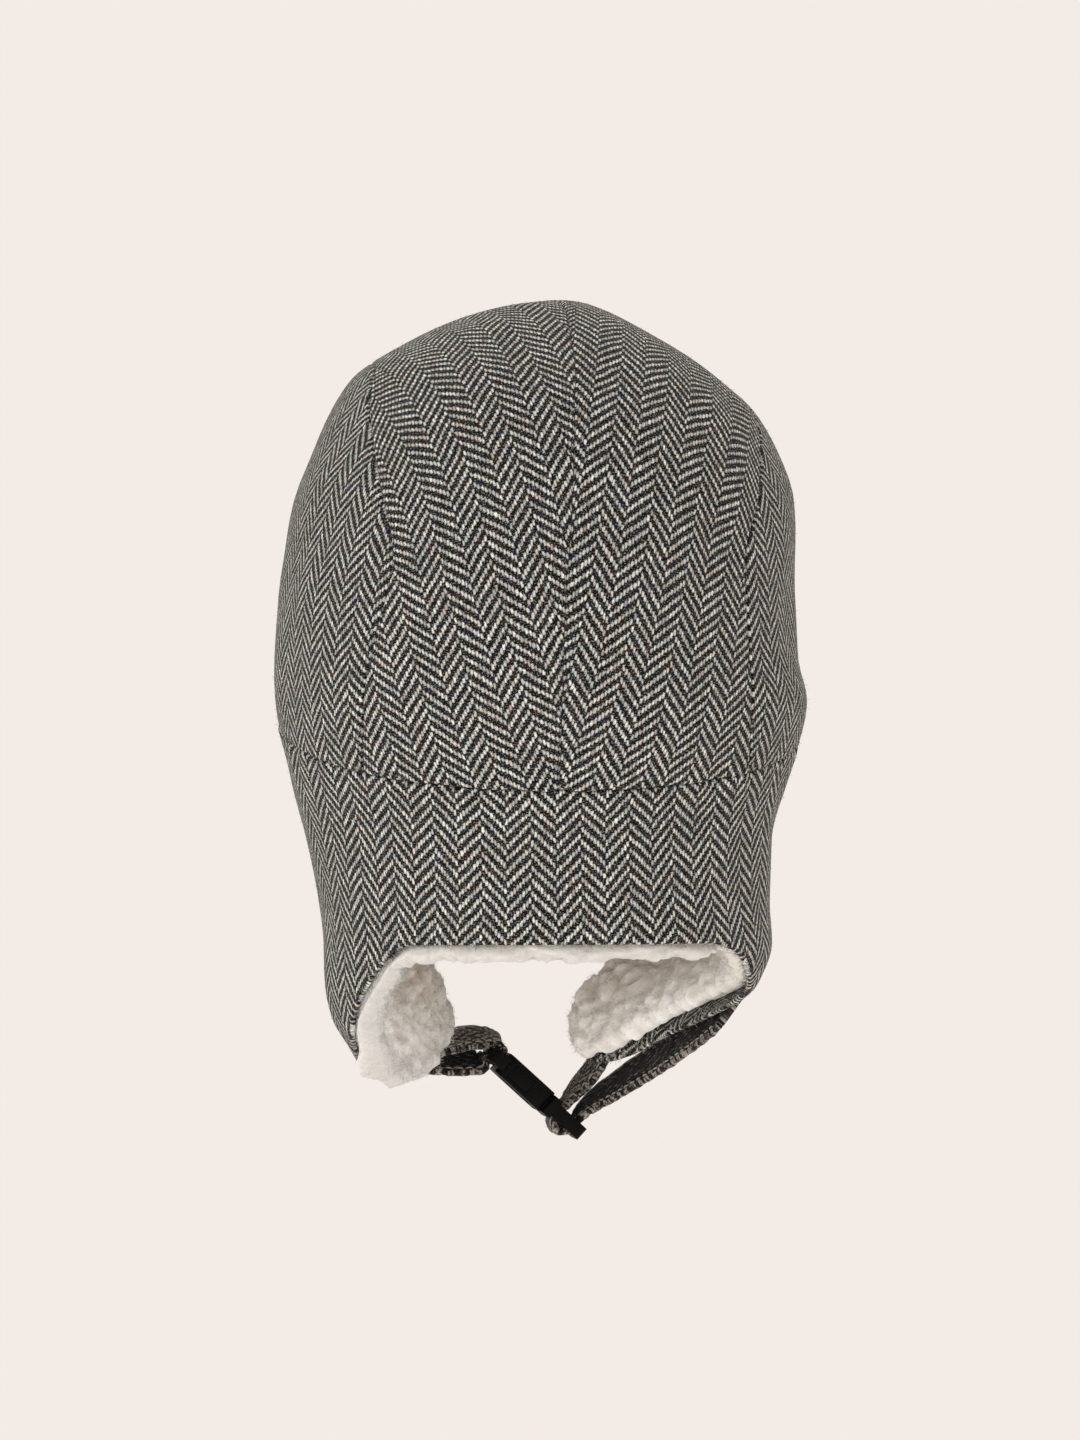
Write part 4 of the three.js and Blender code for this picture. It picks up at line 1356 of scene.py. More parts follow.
    def build(self, material: Material) -> Piece:
        """Builds the piece.

        Args:
            material: the fleece.

        Returns:
            The piece, fibres included.
        """
        u = crowded(*self.columns, self.steps[0], self.crowding)
        v = crowded(*self.rows, self.steps[1], self.crowding)
        across, along = np.meshgrid(u, v, indexing="ij")
        points = self.place(across, along)
        dome, crease = self.tufts(points, self.clump, self.seed)
        curl, fine_crease = self.tufts(points, self.curl, self.seed + 1)
        fluff = Relief(2.4, 0.3, self.seed + 4).at(points) + Relief(6.0, 0.5, self.seed + 5).at(points)
        relief = (dome - 0.5) * self.clump_height + (curl - 0.5) * self.curl_height + fluff
        hanging = self.hang(across, np.ones_like(along))
        outer, inner = self.skins(points, relief, hanging - edge_distances(points)[3])
        pairs = self.finish_values(points, crease, fine_crease, hanging)
        shape = Shape()
        shape.sheet(outer, inner, pairs)
        hairs = replace(PILE_FIBRES, count=self.fibres, seed=self.seed + PILE_FIBRES.seed)
        # The loose fibres take more painted light than the pile under them.
        hairs.add(shape, inner, -FORM.normal(points), pairs + np.array([self.fibre_tip_light, 0.0]))
        return shape.build(self.name, PILE, [material])

    def rim_way(self, points: Array, distances: tuple[Array, ...]) -> Array:
        """The way out over the piece's free edges, fading to nothing inside.

        Args:
            points: the piece's grid.
            distances: how far each point is from the four edges.

        Returns:
            A vector for each point.
        """
        down, along = unit(np.gradient(points, axis=0)), unit(np.gradient(points, axis=1))
        ways = (-down, down, -along, along)
        total = np.zeros_like(points)
        for way, distance, free in zip(ways, distances, self.rounded):
            if free:
                total += way * np.exp(-((distance / (self.rim * 0.8)) ** 2))[..., None]
        return total


def run_lengths(line: Array) -> Array:
    """The length of a line up to each of its points."""
    return np.concatenate([[0], np.cumsum(np.linalg.norm(np.diff(line, axis=0), axis=1))])


def through(points: Array, shares: Array) -> Array:
    """A centripetal curve through points.

    Args:
        points: the points, in order.
        shares: places along it, from 0 to 1, evenly divided among its stretches.

    Returns:
        The curve's points there.
    """
    padded = np.concatenate([[2 * points[0] - points[1]], points, [2 * points[-1] - points[-2]]])
    last = len(points) - 1
    k = np.minimum((shares * last).astype(int), last - 1)
    t = (shares * last - k)[:, None]
    p0, p1, p2, p3 = (padded[k + n] for n in range(4))
    steps = ((p0, p1), (p1, p2), (p2, p3))
    d0, d1, d2 = (np.sqrt(np.linalg.norm(b - a, axis=1))[:, None] for a, b in steps)
    first = ((p1 - p0) / d0 - (p2 - p0) / (d0 + d1) + (p2 - p1) / d1) * d1
    second = ((p2 - p1) / d1 - (p3 - p1) / (d1 + d2) + (p3 - p2) / d2) * d1
    square = 3 * (p2 - p1) - 2 * first - second
    cube = 2 * (p1 - p2) + first + second
    return p1 + first * t + square * t**2 + cube * t**3


# The strap's stretches between its bars: x, y and z of its middle, and the way that its width points there
SEWN_END = [
    (-34.2, -74, -243.5, -0.14, 0.98, -0.1),
    (-26.5, -74.5, -257.4, -0.14, 0.98, -0.1),
    (-21.5, -76, -264, -0.14, 0.98, -0.1),
]
FREE_END = [
    (-25.5, -76, -270.3, 0.02, 0.97, -0.25),
    (-34.5, -72, -263.5, 0.1, 0.9, -0.44),
    (-45, -60, -255.5, 0.22, 0.79, -0.58),
    (-53.5, -45, -248.3, 0.3, 0.68, -0.68),
    (-61.5, -29, -241.3, 0.45, 0.5, -0.74),
    (-68.3, -14, -235, 0.62, 0.3, -0.72),
]
UPPER_LAYER = [
    (33, -75, -250.5, 0, 0.94, -0.34),
    (21.5, -76, -247.6, 0, 0.94, -0.34),
    (14, -76, -246.9, 0, 0.95, -0.31),
    (8, -76, -247.8, 0, 0.98, -0.19),
]
LOWER_LAYER = [
    (13, -76, -255.2, 0, 0.92, -0.4),
    (22, -76, -255.4, 0, 0.91, -0.42),
    (31, -76, -255.6, 0, 0.94, -0.35),
    (39, -75, -254.5, 0, 0.94, -0.35),
]


@dataclass(frozen=True)
class BuckleFrame:
    """The buckle's own directions, and the places along it, counted from its middle towards the plug.

    Attributes:
        slot_length, bar, end_bar: the lengths of a slot, of a bar with a strap round it and of the last.
        plug_bar_drop: how far the plug's bar lies below the buckle's middle.
        body: the sleeve's length.
        end: where the buckle ends.
        plug_outer_slot, plug_bar, plug_inner_slot, socket_bar, socket_slot: the middles of slots and bars.
        socket_start, mouth: where the sleeve starts and ends.
    """

    along = np.array([-math.cos(BUCKLE_SLOPE), 0, -math.sin(BUCKLE_SLOPE)])
    out = np.array([-math.sin(BUCKLE_SLOPE), 0, math.cos(BUCKLE_SLOPE)])
    slot_length: float = 3.8
    bar: float = 2.8
    end_bar: float = 2.4
    plug_bar_drop: float = 1.8
    body: float = 21.0
    end: float = BUCKLE_LENGTH / 2
    plug_outer_slot: float = end - end_bar - slot_length / 2
    plug_bar: float = plug_outer_slot - slot_length / 2 - bar / 2
    plug_inner_slot: float = plug_bar - bar / 2 - slot_length / 2
    socket_bar: float = bar / 2 - end
    socket_slot: float = socket_bar + bar / 2 + slot_length / 2
    socket_start: float = bar + slot_length - end
    mouth: float = socket_start + body

    def place(self, along: Array | float, out: Array | float) -> Array:
        """A point in the buckle's middle plane."""
        return BUCKLE_MIDDLE + np.multiply.outer(along, self.along) + np.multiply.outer(out, self.out)


BUCKLE = BuckleFrame()


@dataclass
class Strap:
    """A flat strap of doubled tweed, sewn along both edges.

    Attributes:
        name: the piece's name.
        stations: places of its middle and its width's directions.
        shaded_side: 1 if the darker lining, a painted shade, is on its upper face, -1 if on its lower.
        spacing: the distance between the mesh's stations.
        across_steps: the mesh's divisions across a face.
        edge_roundness: how wide an edge is rounded, in halves of the thickness.
        thinnest: half the thickness that is left at its very edge.
        fold: how far the outer cloth is folded over onto the lining.
        groove, groove_width: the depth and width of the dent that the stitches pull.
        wave: the strap's slight waves.
        thread_shift: how far the strap's middle lies from the start of a column of its weave.
        stitch, stitch_gap, stitch_inset: a stitch's length, the gap to the next and the way to the edge.
        thread: the thread's radius.
        sunk, rise: how deep a stitch's ends lie under the cloth and how far it rises between them.
        stations_per_stitch, thread_sides: the mesh of a stitch.
    """

    name: str
    stations: Array
    shaded_side: int = -1
    spacing: float = 0.9
    across_steps: int = 22
    edge_roundness: float = 1.15
    thinnest: float = 0.12
    fold: float = 2.6
    groove: float = 0.28
    groove_width: float = 0.5
    wave: Relief = Relief(6.0, 0.12, 21)
    thread_shift: float = 3.0
    stitch: float = 2.6
    stitch_gap: float = 1.1
    stitch_inset: float = 2.1
    thread: float = 0.28
    sunk: float = 0.18
    rise: float = 0.22
    stations_per_stitch: int = 7
    thread_sides: int = 6

    @staticmethod
    def stretch(rows: Sequence[Sequence[float]], steps: int) -> Array:
        """A smooth run of stations through the given ones, each with its place and its width's way."""
        table = np.array(rows, float)
        table[:, 3:] = unit(table[:, 3:])
        shares = np.linspace(0, 1, steps + 1)
        last = len(table) - 1
        at = shares * last
        wide = np.stack([np.interp(at, np.arange(last + 1), table[:, c]) for c in (3, 4, 5)], -1)
        return np.concatenate([through(table[:, :3], shares), wide], 1)

    @staticmethod
    def wrap(middle: float, height: float, end: float, turns: float = 180.0) -> Array:
        """Stations round a bar of the buckle.

        Args:
            middle: the bar's place along the buckle.
            height: its height over the buckle's middle.
            end: 1 at the lower end, -1 at the upper.
            turns: degrees of the wrap.

        Returns:
            The stations.
        """
        radius = BUCKLE.bar / 2 + GAP + STRAP_THICK / 2
        angle = np.radians(np.linspace(0, turns, 17))
        at = BUCKLE.place(middle - end * radius * np.cos(angle), height - radius * np.sin(angle))
        return np.concatenate([at, np.tile([0.0, 1.0, 0.0], (len(angle), 1))], 1)

    @staticmethod
    def over_slot(along: float, rise: float) -> tuple[float, ...]:
        """A station over one of the buckle's slots."""
        return (*BUCKLE.place(along, rise), 0.0, 1.0, 0.0)

    def even(self) -> tuple[Array, Array, Array]:
        """The strap's line at even spacing.

        Returns:
            Its points, its width's directions and its upward directions.
        """
        lengths = run_lengths(self.stations[:, :3])
        wanted = np.linspace(0, lengths[-1], int(lengths[-1] / self.spacing))
        fine = np.stack([np.interp(wanted, lengths, self.stations[:, c]) for c in range(6)], -1)
        for _ in range(3):
            fine[1:-1] = (fine[:-2] + 2 * fine[1:-1] + fine[2:]) / 4
        along = unit(np.gradient(fine[:, :3], axis=0))
        wide = unit(fine[:, 3:] - along * (fine[:, 3:] * along).sum(-1, keepdims=True))
        return fine[:, :3], wide, np.cross(along, wide)

    def profile(self) -> Array:
        """The cross-section's points, across and up: along the upper face and back along the lower."""
        ring = np.linspace(-1, 1, self.across_steps + 1)
        inward = (1 - np.abs(ring)) * STRAP_WIDTH / 2
        edge = 1 - roll(inward, STRAP_THICK / 2 * self.edge_roundness)
        groove = self.groove * np.exp(-(((inward - self.stitch_inset) / self.groove_width) ** 2))
        thick = np.maximum(edge * STRAP_THICK / 2 - groove, self.thinnest)
        upper = np.stack([ring * STRAP_WIDTH / 2, thick], -1)
        return np.concatenate([upper, (upper * (1, -1))[::-1]])

    def build(self, tweed: Material, thread: Material, lining: Material) -> Piece:
        """Builds the strap with its stitches.

        Args:
            tweed: the strap's cloth.
            thread: the sewing thread.
            lining: the darker cloth of its underside, a painted shade.

        Returns:
            The piece.
        """
        at, wide, up = self.even()
        profile = self.profile()
        count = len(profile)
        rise = profile[None, :, 1:] + self.wave.at(at)[:, None, None]
        body = at[:, None] + wide[:, None] * profile[None, :, :1] + up[:, None] * rise
        index = np.arange(len(at) * count).reshape(len(at), count)
        sides = between_rings(index)
        half = count // 2
        k = np.arange(half - 1)
        ends = (index[0], index[-1])
        start, end = (np.stack([row[k + 1], row[k], row[count - 1 - k], row[count - 2 - k]], -1)
                      for row in ends)
        run = run_lengths(at)
        threads = np.stack(np.broadcast_arrays(profile[None, :, 0] + self.thread_shift, run[:, None]), -1)
        shape = Shape()
        shape.add(body, np.concatenate([sides, start, end[:, ::-1]]), threads)
        # Painted shade: the flat part of the shaded face takes the darker lining cloth.
        on_shaded_face = (np.arange(count) >= half) == (self.shaded_side < 0)
        flat = np.abs(profile[:, 0] + np.roll(profile[:, 0], -1)) / 2 < STRAP_WIDTH / 2 - self.fold
        kinds = np.where(on_shaded_face & flat, StrapKind.LINING.value, StrapKind.TWEED.value)
        shape.kinds[-1][:len(sides)] = np.tile(kinds, len(at) - 1)
        STRAP_HAIR.add(shape, body, body - at[:, None], threads)
        for edge in (-1, 1):
            for face in (-1, 1):
                self.add_stitches(shape, (at, wide, up), run, edge, face)
        return shape.build(self.name, CLOTH, [tweed, thread, lining])

    def add_stitches(self, shape: Shape, line: tuple[Array, Array, Array], run: Array,
                     edge: int, face: int) -> None:
        """Adds a row of stitches.

        Args:
            shape: what they are added to.
            line: the strap's points, its width's directions and its upward directions.
            run: the length of strap at each of them.
            edge: 1 or -1, for the edge that the row follows.
            face: 1 on the upper face, -1 on the lower.
        """
        starts = np.arange(self.stitch_inset, run[-1] - self.stitch - 1, self.stitch + self.stitch_gap)
        shares = np.linspace(0, 1, self.stations_per_stitch)
        angle = np.linspace(0, 2 * math.pi, self.thread_sides + 1)[:-1]
        places = starts[:, None] + shares * self.stitch
        at, wide, up = (np.stack([np.interp(places, run, part[:, c]) for c in range(3)], -1)
                        for part in line)
        bow = np.sin(shares * math.pi)
        height = face * (STRAP_THICK / 2 - self.sunk + self.rise * bow)[None, :, None]
        middle = at + wide * edge * (STRAP_WIDTH / 2 - self.stitch_inset) + up * height
        radius = self.thread * (0.35 + 0.65 * bow**0.5)[None, :, None, None]
        ring = wide[:, :, None] * np.cos(angle)[:, None] + up[:, :, None] * np.sin(angle)[:, None]
        points = middle[:, :, None] + ring * radius
        index = np.arange(len(shares) * len(angle)).reshape(len(shares), len(angle))
        caps = [row[corners] for corners in ([0, 1, 2, 3], [3, 4, 5, 0]) for row in (index[0], index[-1])]
        quads = np.concatenate([between_rings(index), np.array(caps)])
        faces = np.arange(len(starts))[:, None, None] * index.size + quads
        shape.add(points, faces, np.zeros((points.size // 3, 2)), StrapKind.THREAD.value)


class Moulding:
    """A plastic part that is added together and cut from rounded blocks, in the buckle's own frame."""

    corner_segments: int = 6
    bar_sides: int = 24
    bevel_segments: int = 3
    sharp: float = math.radians(35)

    def __init__(self) -> None:
        """Starts with nothing."""
        self.whole: Piece | None = None

    def block(self, span: tuple[float, float], width: float, thick: float,
              at: tuple[float, float] = (0.0, 0.0), corner: float = 0.0) -> Piece:
        """A block between two places along the buckle.

        Args:
            span: where it starts and ends.
            width: its size across the buckle.
            thick: its height.
            at: its middle's place across and its height.
            corner: the radius of its upright corners.

        Returns:
            The block.
        """
        work = bmesh.new()
        bmesh.ops.create_cube(work, size=1.0)
        sizes = Vector((span[1] - span[0], width, thick)) * MM
        middle = Vector(((span[0] + span[1]) / 2, at[0], at[1])) * MM
        for vertex in work.verts:
            vertex.co = Vector(a * b for a, b in zip(vertex.co, sizes)) + middle
        if corner > 0:
            upright = [e for e in work.edges if abs((e.verts[0].co - e.verts[1].co).z) > 1e-7]
            bmesh.ops.bevel(work, geom=upright, offset=corner * MM, segments=self.corner_segments,
                            affect="EDGES", profile=0.5)
        return self._object(work)

    def round_bar(self, along: float, height: float, size: float, length: float) -> Piece:
        """A round bar across the buckle."""
        work = bmesh.new()
        radius = size * MM / 2
        bmesh.ops.create_cone(work, segments=self.bar_sides, radius1=radius, radius2=radius,
                              depth=length * MM, cap_ends=True)
        place = Matrix.Translation((along * MM, 0, height * MM)) @ Matrix.Rotation(math.pi / 2, 4, "X")
        bmesh.ops.transform(work, matrix=place, verts=work.verts)
        return self._object(work)

    @staticmethod
    def _object(work: bmesh.types.BMesh) -> Piece:
        """A scene object from a mesh under work."""
        mesh = bpy.data.meshes.new("block")
        work.to_mesh(mesh)
        work.free()
        made = bpy.data.objects.new("block", mesh)
        bpy.context.scene.collection.objects.link(made)
        return made

    def _combine(self, other: Piece, operation: str) -> None:
        """Adds or cuts a block, which is used up."""
        if self.whole is None:
            self.whole = other
            return
        change = self.whole.modifiers.new("combine", "BOOLEAN")
        change.object, change.operation, change.solver = other, operation, "EXACT"
        self._settle()
        bpy.data.objects.remove(other)

    def _settle(self) -> None:
        """Makes the modifiers' result the part's own mesh."""
        bpy.context.view_layer.update()
        seen = self.whole.evaluated_get(bpy.context.evaluated_depsgraph_get())
        mesh = bpy.data.meshes.new_from_object(seen)
        self.whole.modifiers.clear()
        self.whole.data = mesh

    def add(self, *blocks: Piece) -> None:
        """Joins blocks to the part."""
        for block in blocks:
            self._combine(block, "UNION")

    def cut(self, *blocks: Piece) -> None:
        """Cuts blocks out of the part."""
        for block in blocks:
            self._combine(block, "DIFFERENCE")

    def soften(self, width: float) -> None:
        """Rounds every sharp edge."""
        bevel = self.whole.modifiers.new("soft edges", "BEVEL")
        bevel.width, bevel.segments = width * MM, self.bevel_segments
        bevel.limit_method, bevel.angle_limit = "ANGLE", self.sharp
        self._settle()

    def finished(self, name: str, material: Material) -> Piece:
        """Puts the part in its place on the strap.

        Args:
            name: the piece's name.
            material: its plastic.

        Returns:
            The piece.
        """
        piece = self.whole
        piece.name = piece.data.name = name
        across = np.cross(BUCKLE.out, BUCKLE.along)
        turn = Matrix([[*row] for row in np.stack([BUCKLE.along, across, BUCKLE.out], 1)]).to_4x4()
        piece.data.transform(Matrix.Translation(BUCKLE_MIDDLE * MM) @ turn)
        piece.data.materials.clear()
        piece.data.materials.append(material)
        piece.data.shade_smooth()
        return piece


@dataclass
class Buckle:
    """The side-release buckle, fastened.

    Attributes:
        wall: the sleeve's wall.
        adjuster: the thickness of the frames round the slots.
        corner, inner_corner: the radii of the outer corners and of the hollow's.
        floor: the solid length between the socket's slot and its hollow.
        window: where the side windows start, from the sleeve's start, and their length.
        slot_width: the width of the strap's slots.
        recess: how far each face's recess lies from the sleeve's two ends and from its sides, both together.
        recess_depth: the height of the block that cuts it, half of which lies in the face.
        prong, prong_corner: the prongs' length and width, and their corners' radius.
        guide, guide_setback: the guide's width, and how far its tip stays behind the prongs'.
        root: how far both reach into the plug's shoulders.
        shoulder_step: how far the shoulders lie below the sleeve's faces, both together.
        pad, slit: the release pads' depth, and the slit round them.
        setback: how far the socket's frame stays inside of its end bar.
        softness: the roundness of the socket's and the plug's edges.
    """

    wall: float = 1.5
    adjuster: float = 5.0
    corner: float = 3.0
    inner_corner: float = 0.8
    floor: float = 3.0
    window: tuple[float, float] = (4.0, 9.0)
    slot_width: float = STRAP_WIDTH + 1
    recess: tuple[float, float, float] = (3.2, 2.6, 9.0)
    recess_depth: float = 0.7
    prong: tuple[float, float] = (15.0, 5.0)
    prong_corner: float = 1.2
    guide: float = 6.0
    guide_setback: float = 3.0
    root: float = 2.0
    shoulder_step: float = 1.0
    pad: float = 3.0
    slit: float = 0.12
    setback: float = 0.6
    softness: tuple[float, float] = (0.55, 0.5)

    def socket(self, material: Material) -> Piece:
        """The sleeve with its two side windows, raised frame and end bar."""
        m, b = Moulding(), BUCKLE
        height = BUCKLE_THICK - 2 * self.wall
        start = b.socket_start
        hollow = (start + self.floor, b.mouth + 4)
        m.add(m.block((start, b.mouth), BUCKLE_WIDTH, BUCKLE_THICK, corner=self.corner))
        m.add(m.block((self.setback - b.end, start + self.floor), BUCKLE_WIDTH, self.adjuster,
                      corner=self.corner))
        m.cut(m.block(hollow, BUCKLE_WIDTH - 2 * self.wall, height, corner=self.inner_corner))
        opens = start + self.window[0]
        m.cut(m.block((opens, opens + self.window[1]), 2 * BUCKLE_WIDTH, height))
        m.cut(m.block((-b.end - 1, start), self.slot_width, 2 * BUCKLE_THICK))
        before, after, beside = self.recess
        for face in (-1, 1):
            m.cut(m.block((start + before, b.mouth - after), BUCKLE_WIDTH - beside, self.recess_depth,
                          at=(0.0, face * BUCKLE_THICK / 2), corner=2.0))
        m.soften(self.softness[0])
        m.add(m.round_bar(b.socket_bar, 0, b.bar, self.slot_width + 1))
        return m.finished("buckle_socket_moulding", material)

    def plug(self, material: Material) -> Piece:
        """The prongs and guide, the shoulders and the two-slot adjuster."""
        m, b = Moulding(), BUCKLE
        height = BUCKLE_THICK - 2 * self.wall
        inside = height - 2 * GAP
        length, width = self.prong
        start, tip = b.mouth + GAP, b.mouth - length
        reach = BUCKLE_WIDTH / 2 - self.wall - GAP - width / 2
        slots = b.plug_inner_slot - b.slot_length / 2
        m.add(m.block((start, slots), BUCKLE_WIDTH, BUCKLE_THICK - self.shoulder_step, corner=0.9))
        m.add(m.block((start + 1, b.end), BUCKLE_WIDTH, self.adjuster, corner=self.corner))
        m.cut(m.block((slots, b.end - b.end_bar), self.slot_width, 2 * BUCKLE_THICK, corner=0.6))
        m.add(m.block((tip + self.guide_setback, start + self.root), self.guide, inside,
                      corner=self.inner_corner))
        opens = b.socket_start + self.window[0]
        span = (opens + self.slit, opens + self.window[1] - self.slit)
        for side in (-1, 1):
            m.add(m.block((tip, start + self.root), width, inside, at=(side * reach, 0.0),
                          corner=self.prong_corner))
            m.add(m.block(span, self.pad, height - 2 * self.slit,
                          at=(side * (BUCKLE_WIDTH - self.pad) / 2, 0.0)))
        m.soften(self.softness[1])
        m.add(m.round_bar(b.plug_bar, -b.plug_bar_drop, b.bar, self.slot_width + 1))
        return m.finished("buckle_plug_moulding", material)


@dataclass(frozen=True)
class Lamp:
    """One soft square light: its place in metres, its side, its power in watts and its colour."""

    name: str
    place: tuple[float, float, float]
    size: float
    power: float
    colour: tuple[float, float, float]


@dataclass
class Studio:
    """The pale floor, the soft lights and the camera, in metres.

    Attributes:
        distance, bearing: how far the camera stands from its aim, and its angle from straight behind.
        aim: the middle of the picture.
        view_height: what the picture shows from its top to its bottom, at the aim.
        sensor: the camera's sensor in millimetres.
        floor_depth, floor_radius: the floor's place and size.
        floor_colour, mottle: its colour, and the scale of the faint noise in it.
        backdrop: the colour of the light from all around.
        lamps: the soft lights.
    """

    distance: float = 3.0
    bearing: float = math.radians(5.5)
    aim: tuple[float, float, float] = (0.0, 0.0, -0.1348)
    view_height: float = 0.4966
    sensor: float = 36.0
    floor_depth: float = -1.74
    floor_radius: float = 14.0
    floor_colour: Colour = (0.86, 0.82, 0.78, 1)
    mottle: float = 3.0
    backdrop: Colour = (0.896, 0.836, 0.791, 1)
    lamps: tuple[Lamp, ...] = (
        Lamp("key", (2.0, 1.7, 0.6), 1.4, 15.0, (1.0, 0.99, 0.97)),
        Lamp("under", (0.15, 1.0, -1.2), 1.2, 7.0, (1.0, 0.985, 0.96)),
    )

    def camera(self) -> None:
        """Sets the camera at the photograph's angle and scale."""
        data = bpy.data.cameras.new("camera")
        data.sensor_width = self.sensor
        data.lens = self.sensor * self.distance / self.view_height
        camera = bpy.data.objects.new("camera", data)
        way = Vector((math.sin(self.bearing), math.cos(self.bearing), 0))
        camera.location = Vector(self.aim) + way * self.distance
        camera.rotation_euler = (-way).to_track_quat("-Z", "Y").to_euler()
        bpy.context.scene.collection.objects.link(camera)
        bpy.context.scene.camera = camera

    def light(self, lamp: Lamp) -> None:
        """Adds one lamp, which faces the hat."""
        data = bpy.data.lights.new(lamp.name, "AREA")
        data.energy, data.size, data.color = lamp.power, lamp.size, lamp.colour
        made = bpy.data.objects.new(lamp.name, data)
        made.location = lamp.place
        made.rotation_euler = (Vector(self.aim) - Vector(lamp.place)).to_track_quat("-Z", "Y").to_euler()
        bpy.context.scene.collection.objects.link(made)

    def build(self) -> None:
        """Builds the whole studio."""
        self.camera()
        for lamp in self.lamps:
            self.light(lamp)
        world = bpy.data.worlds.new("studio")
        world.use_nodes = True
        background = world.node_tree.nodes["Background"]
        background.inputs["Color"].default_value = self.backdrop
        background.inputs["Strength"].default_value = 1.0
        bpy.context.scene.world = world
        bpy.context.scene.view_settings.view_transform = "Standard"
        bpy.ops.mesh.primitive_circle_add(vertices=96, radius=self.floor_radius, fill_type="NGON",
                                          location=(0, 0, self.floor_depth))
        floor = bpy.context.object
        floor.name = "floor"
        floor.data.materials.append(PlainFinish("pale_floor", self.floor_colour, self.mottle).material())


def seat(piece: Piece, slot: Slot, *nodes: str) -> None:
    """Makes a piece ride on the hat and stand for its nodes, and reports it.

    Args:
        piece: the piece.
        slot: the record's material slot; not used.
        nodes: the nodes that it replaces.
    """
    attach(piece, BODY)
    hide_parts(*nodes)
    faces = sum(len(face.vertices) - 2 for face in piece.data.polygons)
    log.info("%s: %d triangles, in place of %s", piece.name, faces, ", ".join(nodes))


SEAM_INSET = 0.05 / 66.5
BAND_INSET = GAP / 2 / 160.0
COLUMN_WIDTH = 8.64  # a herringbone column: eight warp threads of 1.08


@dataclass
class Crown:
    """The four tweed panels and the lining under them."""

    turns: tuple[float, float] = (0.0, 180.0)
    lining_steps: tuple[int, int] = (84, 150)
    lining_clump: float = 8.0
    lining_curl: float = 4.5
    lining_fibres: int = 5000

    def build(self, tweed: Material, fleece: Material) -> None:
        """Builds the crown's pieces.

        Args:
            tweed: the outer cloth.
            fleece: the lining.
        """
        left = Grain(place=(0.4, 0.16), lean=15.0, joint=(0.0, 0.226), start=COLUMN_WIDTH)
        right = Grain(place=(0.6, 0.16), lean=-10.5, joint=(1.0, 0.226), start=COLUMN_WIDTH)
        spans = {
            "crown_center_left": ((SEAM_INSET, 1 - SEAM_INSET), left),
            "crown_center_right": ((SEAM_INSET - 1, -SEAM_INSET), right),
            "crown_side_left": ((1 + SEAM_INSET, 2), Grain((0.5, 0.3), -4.0, cut=Cut.HALF_MOON)),
            "crown_side_right": ((-2, -1 - SEAM_INSET), Grain((0.5, 0.3), 7.0, cut=Cut.HALF_MOON)),
        }
        for name, (columns, grain) in spans.items():
            piece = TweedPiece(name + "_tweed", FORM.crown, columns, self.turns, grain)
            seat(piece.build(tweed), Slot.TWEED, name)
        halves = {"crown_lining_left": (SEAM_INSET, 2.0), "crown_lining_right": (-2.0, -SEAM_INSET)}
        for number, (name, columns) in enumerate(halves.items()):
            piece = FleecePiece(name + "_fleece", FORM.crown, columns, self.turns, FLEECE, 0.0,
                                self.lining_steps, rounded=(False, False, False, False),
                                seed=40 + 10 * number, clump=self.lining_clump, curl=self.lining_curl,
                                fibres=self.lining_fibres)
            seat(piece.build(fleece), Slot.FLEECE, name)


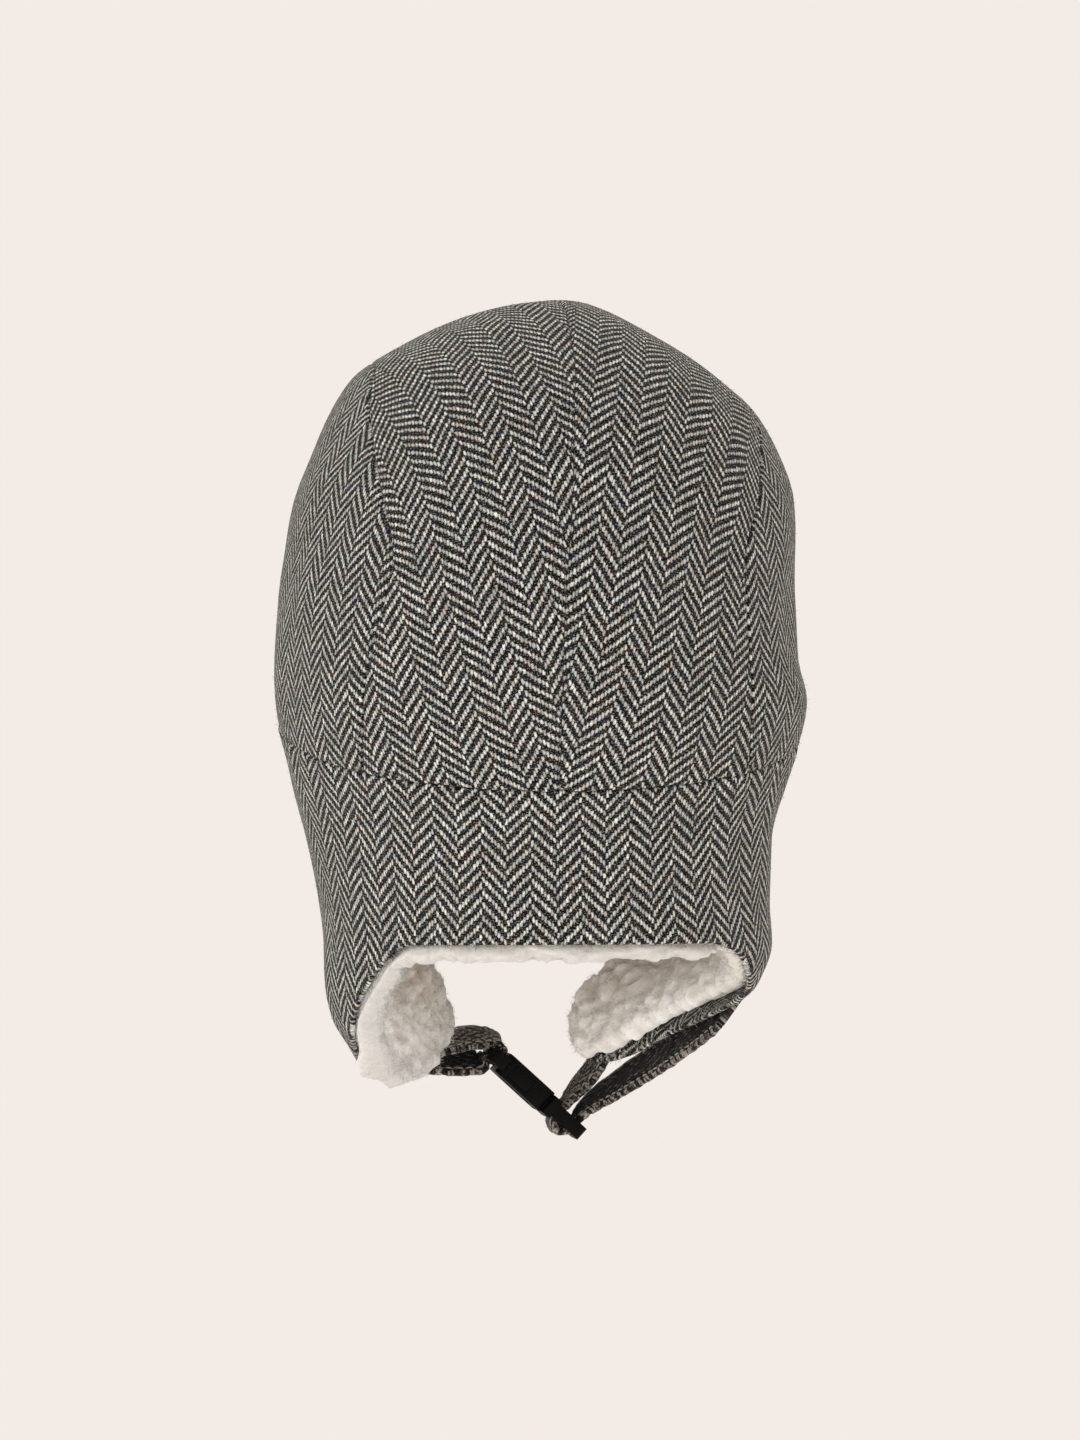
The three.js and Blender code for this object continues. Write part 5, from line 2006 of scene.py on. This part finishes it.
@dataclass
class Flaps:
    """The nape and ear flaps: one tweed piece and the three pieces of its lining."""

    drops: tuple[float, float] = (0.0, 1.0)
    shell_steps: tuple[int, int] = (210, 72)
    shell_coarse: tuple[int, int] = (89, 17)
    shell_hairs: int = 3600
    shell_edges: tuple[float, float, float, float] = (1.0, 1.0, 0.9, 1.1)
    shell_roll: float = 2.2
    nape_steps: tuple[int, int] = (130, 84)
    nape_fibres: int = 12000
    flap_steps: tuple[int, int] = (110, 110)
    flap_fibres: int = 22000

    @staticmethod
    def hang(share: Array, drop: Array) -> Array:
        """How far the fleece hangs past the tweed's hem, or stops short of it where that is below zero."""
        left, right = (FLEECE_PAST[side].read("past", np.abs(share)) for side in (Side.LEFT, Side.RIGHT))
        return np.where(share < 0, right, left) * drop**9

    def lining_place(self, share: Array, drop: Array) -> Array:
        """A point under the band, with the fleece's own edge."""
        return FORM.band(share, drop, self.hang(share, drop) / np.maximum(drop, 1e-6))

    def build(self, tweed: Material, fleece: Material) -> None:
        """Builds the pieces below the crown.

        Args:
            tweed: the outer cloth.
            fleece: the lining.
        """
        grain = Grain(place=(0.5, 0.5), lean=2.0, joint=(0.5, 0.6), start=COLUMN_WIDTH, cut=Cut.BAND)
        shell = TweedPiece("earflap_shell_tweed", FORM.band, (-1.0, 1.0), self.drops, grain,
                           steps=self.shell_steps, coarse=self.shell_coarse,
                           hair=replace(HAIR, count=self.shell_hairs), fringe=FRINGE,
                           edges=self.shell_edges, roll_width=self.shell_roll,
                           puckered=(False, False, True, False))
        seat(shell.build(tweed), Slot.TWEED, "earflap_shell")
        start = FLAP_LINING_START
        nape = (FLEECE, self.nape_steps, self.nape_fibres)
        flap = (FLAP_FLEECE, self.flap_steps, self.flap_fibres)
        linings = {
            "nape_lining": ((-start + BAND_INSET, start - BAND_INSET), nape),
            "flap_lining_left": ((start + BAND_INSET, 1.0), flap),
            "flap_lining_right": ((-1.0, -start - BAND_INSET), flap),
        }
        for number, (name, (columns, (thick, steps, fibres))) in enumerate(linings.items()):
            rounded = (columns[0] == -1.0, columns[1] == 1.0, False, True)
            piece = FleecePiece(name + "_fleece", self.lining_place, columns, self.drops, thick, FLAP_EASE,
                                steps, rounded, seed=70 + 10 * number, hang=self.hang, fibres=fibres)
            seat(piece.build(fleece), Slot.FLEECE, name)


@dataclass
class ChinStrap:
    """The two straps and the buckle between them.

    Attributes:
        inner_rise, outer_rise, socket_rise: how far over the buckle's middle the strap is at each slot.
        short_wrap: degrees that the short strap turns round its bar before it runs back underneath.
    """

    inner_rise: float = 4.0
    outer_rise: float = 3.0
    socket_rise: float = 3.2
    short_wrap: float = 120.0

    def build(self, tweed: Material, thread: Material, lining: Material, plastic: Material) -> None:
        """Builds the straps and the buckle.

        Args:
            tweed: the straps' cloth.
            thread: the sewing thread.
            lining: the darker cloth of their undersides, a painted shade.
            plastic: the buckle's plastic.
        """
        sewn = Strap.stretch([*SEWN_END, Strap.over_slot(BUCKLE.plug_inner_slot, self.inner_rise)], 24)
        turn = Strap.wrap(BUCKLE.plug_bar, -BUCKLE.plug_bar_drop, 1.0)
        free = Strap.stretch([Strap.over_slot(BUCKLE.plug_outer_slot, self.outer_rise), *FREE_END], 90)
        right = Strap("strap_right_tweed", np.concatenate([sewn, turn, free]))
        seat(right.build(tweed, thread, lining), Slot.STRAP, "strap_right")
        upper = Strap.stretch([*UPPER_LAYER, Strap.over_slot(BUCKLE.socket_slot, self.socket_rise)], 36)
        turn = Strap.wrap(BUCKLE.socket_bar, 0.0, -1.0, self.short_wrap)
        lower = Strap.stretch(LOWER_LAYER, 24)
        left = Strap("strap_left_tweed", np.concatenate([upper, turn, lower]), shaded_side=1)
        seat(left.build(tweed, thread, lining), Slot.STRAP, "strap_left")
        buckle = Buckle()
        seat(buckle.socket(plastic), Slot.PLASTIC, "buckle_socket")
        seat(buckle.plug(plastic), Slot.PLASTIC, "buckle_plug")


def strap_finishes() -> tuple[Material, Material]:
    """The straps' tweed, and the darker cloth of their undersides, which paints the shade inside the loop
    and under the flap.
    """
    outside = TweedFinish("strap_herringbone", light=(0.34, 0.32, 0.285, 1), tremble=1.2, speckle=0.75,
                          brown=Fleck((0.022, 0.015, 0.012, 1), 0.22, 0.4))
    # Painted shade: a near-black copy of the tweed for the straps' shadowed faces.
    inside = TweedFinish("strap_shaded_underside", light=(0.055, 0.055, 0.05, 1), dark=(0.006, 0.006, 0.006, 1),
                         brown=Fleck((0.012, 0.01, 0.009, 1), 0.22, 0.4), tremble=1.2, speckle=0.4)
    return outside.material(), inside.material()


def main() -> None:
    """Builds the studio and the hat, piece by piece."""
    logging.basicConfig(level=logging.INFO, format="%(message)s", stream=sys.stdout)
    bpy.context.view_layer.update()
    Studio().build()
    tweed = TweedFinish("herringbone_tweed").material()
    fleece = FleeceFinish("pile_fleece").material()
    plastic = PlasticFinish("black_plastic").material()
    thread = PlainFinish("grey_thread", (0.42, 0.41, 0.38, 1)).material()
    strap_tweed, lining = strap_finishes()
    Crown().build(tweed, fleece)
    Flaps().build(tweed, fleece)
    ChinStrap().build(strap_tweed, thread, lining, plastic)


if __name__ == "__main__":
    main()
